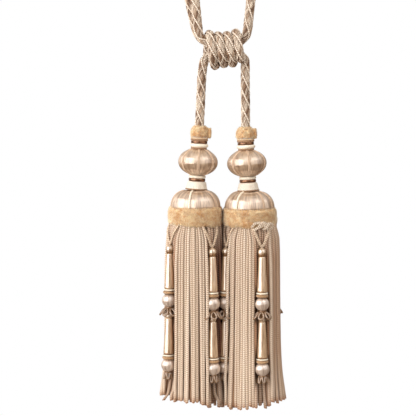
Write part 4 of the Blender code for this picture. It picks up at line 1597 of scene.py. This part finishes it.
GIMP = gimp_finish()
print("mould finishes:", SPINDLE_SILK.name, PEARL.name, BEAD_SILK.name, DARK_GOLD.name,
      GOLD_BRAID.name, STRING_CORD.name, PALE_STRING.name, GIMP.name)

# %% [markdown]
# ### Turned shapes
# Each form is a profile of (radius, height) pairs, in millimetres below the top of the bead. The
# spindles are narrow at the top and widest at the ring, as turned moulds of this kind are, and
# each part overlaps the next a little, so that no gap shows where they meet.

# %% Mould profiles
BEAD = ([(0.0, 0.0), (1.4, 0.0)] + arc(4.2, 4.6, -4.6, 20.0, 100.0, 9)
        + [(3.7, -5.7), (3.8, -6.3), (3.7, -7.6), (3.2, -8.6), (0.0, -8.7)])
BEAD_LINE = -5.5
UPPER_SPINDLE = [(0.0, -8.4), (2.4, -8.5), (3.2, -8.9), (3.5, -9.5), (3.55, -10.1), (4.0, -20.0),
                 (4.6, -32.0), (5.1, -42.2), (5.1, -42.8), (4.8, -43.2), (0.0, -43.3)]
LOWER_SPINDLE = [(0.0, -73.2), (2.9, -73.2), (3.5, -73.9), (3.55, -74.5), (4.0, -85.0),
                 (4.6, -97.0), (5.1, -107.6), (5.1, -108.2), (4.8, -108.6), (0.0, -108.7)]
RING_HEIGHTS = (-43.2, -108.6)
BALL_HEIGHTS = (-55.4, -120.2)
SPINDLE_SIDES, SMALL_BALL_SIDES, BEAD_SIDES, CUP_SIDES = 40, 44, 32, 28
SMOOTH_EDGE, RING_EDGE = 50.0, 60.0


def ring_profile(top):
    """A dark groove, a thin cream ring, a second groove and a gold-brown ring."""
    return [(0.0, top), (4.7, top), (4.6, top - 0.9), (5.4, top - 1.0), (5.9, top - 1.4),
            (5.9, top - 1.9), (5.4, top - 2.3), (5.0, top - 2.5), (5.0, top - 3.0),
            (5.8, top - 3.2), (6.2, top - 3.8), (6.2, top - 4.6), (5.6, top - 5.3),
            (4.4, top - 5.8), (0.0, top - 5.9)]


def ring_finishes(top):
    return ((top - 0.95, DARK_GOLD), (top - 2.4, CREAM_RING), (top - 3.1, DARK_GOLD),
            (LOWEST, GOLD_BRAID))


def small_ball(middle):
    """A pearly ball, cut where the ring sits on it and where it meets the loops."""
    return closed_to_axis(arc(7.15, 6.9, middle, 34.0, 152.0, 16))


def mould_piece(name, profile, sides, finishes, edge=SMOOTH_EDGE):
    """A turned piece, smooth but for edges sharper than this, painted by height."""
    piece = turned(name, profile, sides)
    smooth_turned(piece, edge)
    paint_by_height(piece, finishes)
    return piece


def make_mould(name, spindle, ring_top, ball_middle, with_bead):
    """A spindle, its ring and its ball, joined, with the bead on top if it has one."""
    pieces = [mould_piece(name, spindle, SPINDLE_SIDES, ((LOWEST, SPINDLE_SILK),)),
              mould_piece(name, ring_profile(ring_top), SPINDLE_SIDES, ring_finishes(ring_top),
                          RING_EDGE),
              mould_piece(name, small_ball(ball_middle), SMALL_BALL_SIDES, ((LOWEST, PEARL),))]
    if with_bead:
        pieces.append(mould_piece(name, BEAD, BEAD_SIDES,
                                  ((BEAD_LINE, BEAD_SILK), (LOWEST, DARK_GOLD))))
    return join(name, pieces)


UPPER_MOULD = make_mould("upper_mould", UPPER_SPINDLE, RING_HEIGHTS[0], BALL_HEIGHTS[0], True)
LOWER_MOULD = make_mould("lower_mould", LOWER_SPINDLE, RING_HEIGHTS[1], BALL_HEIGHTS[1], False)
print("moulds:", triangles(UPPER_MOULD), "and", triangles(LOWER_MOULD), "triangles")

# %% [markdown]
# ### Gimp loops
# Under each upper ball six stiff loops of gimp flare out like petals over a small bead, and under
# each lower ball hangs a bunch of short ones. A petal is one tube that leaves the middle, swings
# out to a rounded, turned-up tip and comes back beside itself, so its inside stays open and dark.

# %% Petals and end loops
PETALS = 6
GIMP_RADIUS = 0.95
END_RADIUS = 0.85
PETAL_STEPS, HOOK_STEPS = 18, 12
PETAL_BEAD = ([(0.0, -68.4)] + arc(3.4, 3.1, -71.4, 25.0, 155.0, 10) + [(0.0, -74.3)])
PETAL_NECK = ((0.0, -61.6), (3.3, -61.7), (3.6, -62.6), (3.0, -63.8), (2.2, -68.4), (0.0, -68.5))
END_NECK = ((0.0, -126.3), (3.1, -126.4), (3.4, -127.1), (3.0, -127.9), (0.0, -128.0))


def petal_line():
    """A leaf-shaped loop in front of the axis: (across, away, height) in metres."""
    points = []
    for i in range(PETAL_STEPS + 1):
        share = i / PETAL_STEPS
        out = math.sin(math.pi * share)
        points.append((2.5 * math.sin(math.tau * share), -(2.6 + 6.2 * out ** 0.8),
                       -63.2 - 6.6 * out ** 1.4))
    return np.array(points) * MM


def hook_line(start_radius, tip_radius, top, bottom, spread):
    """A narrow loop that hangs down from the ball and comes back up beside itself."""
    points = []
    for i in range(HOOK_STEPS + 1):
        share = i / HOOK_STEPS
        out = math.sin(math.pi * share) ** 0.7
        reach = start_radius + (tip_radius - start_radius) * out
        aside = spread * math.cos(math.pi * share)
        points.append((aside, -reach, top + (bottom - top) * out))
    return np.array(points) * MM


def ring_of_loops(name, line, count, turn, radius):
    """One loop as a tube, copied round the axis; turn is where the first stands, in loops."""
    loop = swept(name + "_loop", line, radius * MM)
    finish_tube(loop, route_length(line), GIMP)
    corners = np.array([v.co for v in loop.data.vertices])
    shapes = []
    for i in range(count):
        spin = np.array(Matrix.Rotation(math.tau * (i + turn) / count, 3, "Z"))
        shapes.append(corners @ spin.T)
    ring = many(name, loop, np.array(shapes), np.zeros((count, 2)))
    bpy.data.objects.remove(loop)
    ring.data.materials.append(GIMP)
    return ring


PETAL_CUP = join("petals", [
    ring_of_loops("petal_loops", petal_line(), PETALS, 0.5, GIMP_RADIUS),
    mould_piece("petal_bead", PETAL_BEAD, CUP_SIDES, ((LOWEST, BEAD_SILK),)),
    mould_piece("petal_neck", PETAL_NECK, CUP_SIDES, ((LOWEST, DARK_GOLD),))])
OUTER_HOOK = hook_line(start_radius=3.0, tip_radius=4.9, top=-126.8, bottom=-133.4, spread=1.25)
INNER_HOOK = hook_line(start_radius=1.4, tip_radius=2.1, top=-126.8, bottom=-134.4, spread=1.0)
END_LOOPS = join("end_loops", [
    ring_of_loops("end_outer", OUTER_HOOK, 6, 0.0, END_RADIUS),
    ring_of_loops("end_inner", INNER_HOOK, 3, 0.3, END_RADIUS),
    mould_piece("end_neck", END_NECK, CUP_SIDES, ((LOWEST, DARK_GOLD),))])
for obj in (UPPER_MOULD, LOWER_MOULD, PETAL_CUP, END_LOOPS):
    obj.hide_render = True
print("petals:", triangles(PETAL_CUP), "end loops:", triangles(END_LOOPS), "triangles")

# %% [markdown]
# ### The strings that carry them
# Each string of moulds hangs from a V of thin cord that comes out from under the ruff on both
# sides and meets at the bead. A leg of the V is two cords side by side, each twisted from two
# strands in the same way as the rope, only smaller.

# %% The strings
RUFF_BOTTOM = -33.6
STRING_CORDS_APART = 1.3
STRING_STRAND = 0.44
STRING_OFFSET = 0.28
STRING_PITCH = 3.6
STRING_RISE = 3.0
STRING_CURVE, STRING_SPACING = 0.8 * MM, 0.7 * MM


def string_route(top):
    """From under the ruff down to the bead and up again, in the hanger's frame."""
    rise = RUFF_BOTTOM + STRING_RISE - top
    leg = [(9.0, -rise, 5.8), (8.7, 3.4 - rise, 3.8), (6.9, -rise * 0.62, 1.0),
           (4.2, -rise * 0.36, 0.0), (1.7, -2.8, 0.0)]
    route = [(-across, *rest) for across, *rest in leg] + [(0.0, -1.2, 0.0)] + leg[::-1]
    return respaced(smooth_route(route, STRING_CURVE), STRING_SPACING)


def make_string(name, line, finish):
    """Two cords side by side along a line, each of two thin strands wound round each other."""
    across = np.cross(directions(line), (0.0, 1.0, 0.0))
    pieces = []
    for side in (-0.5, 0.5):
        cord = line + across * side * STRING_CORDS_APART * MM
        for strand in range(2):
            core = wound(cord, STRING_OFFSET * MM, STRING_PITCH * MM, math.pi * strand + side)
            piece = swept(name, core, STRING_STRAND * MM)
            finish_tube(piece, route_length(line), finish, 1.0, strand)
            pieces.append(piece)
    return join(name, pieces)


# %% [markdown]
# ### Eight strings of moulds
# Each string leans out a little with the fringe behind it. A matrix turns it to its angle, leans
# it and moves it to its place, and every copied mesh is passed through that matrix.

# %% Hang the moulds
# The solids' numbers for the strings, in the order of the table of strings
HANGER_NUMBERS = (4, 1, 2, 3)
MOULD_KINDS = ((UPPER_MOULD, "upper_mould", "pearl"), (PETAL_CUP, "petals", "gimp"),
               (LOWER_MOULD, "lower_mould", "pearl"), (END_LOOPS, "end_loops", "gimp"))

for tassel in TASSELS:
    for number, row in zip(HANGER_NUMBERS, HANGERS[tassel["name"]]):
        name = "{}_hanger_{}".format(tassel["name"], number)
        angle = math.radians(row["angle"])
        top = HANGER_TOP - row["drop"]
        place = Vector((HANGER_RADIUS * math.sin(angle), -HANGER_RADIUS * math.cos(angle), top))
        hanger = (tassel["skirt_frame"] @ Matrix.Translation(place * MM)
                  @ Matrix.Rotation(angle, 4, "Z")
                  @ Matrix.Rotation(math.radians(-row["lean"]), 4, "X"))
        row["frame"] = hanger
        for master, kind, slot in MOULD_KINDS:
            piece = new_object("{}_{}_made".format(name, kind), master.data.copy())
            hand_over(placed(piece, hanger), slot, "{}_{}".format(name, kind))
        line = string_route(top)
        string = placed(make_string(name + "_string", line, STRING_CORD), hanger)
        line = np.array([hanger @ Vector(point) for point in line])
        hand_over(string, "fringe", name + "_cords")

# %% [markdown]
# ### A knot of string on the right ruff
# On the right tassel the strings of the front moulds are knotted where they leave the ruff, so a
# few short loops of the same string lie over its lower edge.

# %% The string knot
# Each loop's points in front of the bead: (across, away, above it)
KNOT_ARCS = (
    ((-10.5, 0.6, 20.6), (-8.0, -1.4, 24.0), (-2.0, -2.2, 24.6), (3.5, -1.8, 20.6),
     (7.0, 0.4, 17.4)),
    ((10.0, 0.6, 20.4), (7.6, -1.6, 23.6), (2.0, -2.6, 23.0), (-4.0, -2.0, 20.4),
     (-8.2, 0.4, 17.6)),
    ((-5.0, 0.2, 18.8), (-3.0, -2.6, 22.4), (0.5, -3.2, 25.0), (4.0, -2.6, 22.4),
     (4.6, 0.0, 18.6)),
    ((1.0, 0.2, 17.6), (3.6, -2.8, 20.4), (7.6, -2.6, 23.8), (11.0, -0.8, 22.0),
     (9.6, 0.8, 18.0)),
)
pieces = []
for arc_points in KNOT_ARCS:
    line = smooth_route([(across, -above, away) for across, away, above in arc_points],
                        STRING_CURVE)
    pieces.append(make_string("string_knot", line, PALE_STRING))
string_knot = placed(join("right_string_knot", pieces), HANGERS["right"][2]["frame"])
hand_over(string_knot, "fringe")

# %% [markdown]
# ## Finish
# The objects that were only copied from are removed.

# %% Put the masters away
for master in (TUFT, CHAIN, PLAIN, UPPER_MOULD, LOWER_MOULD, PETAL_CUP, END_LOOPS,
               STRAND_OUTLINE):
    bpy.data.objects.remove(master)
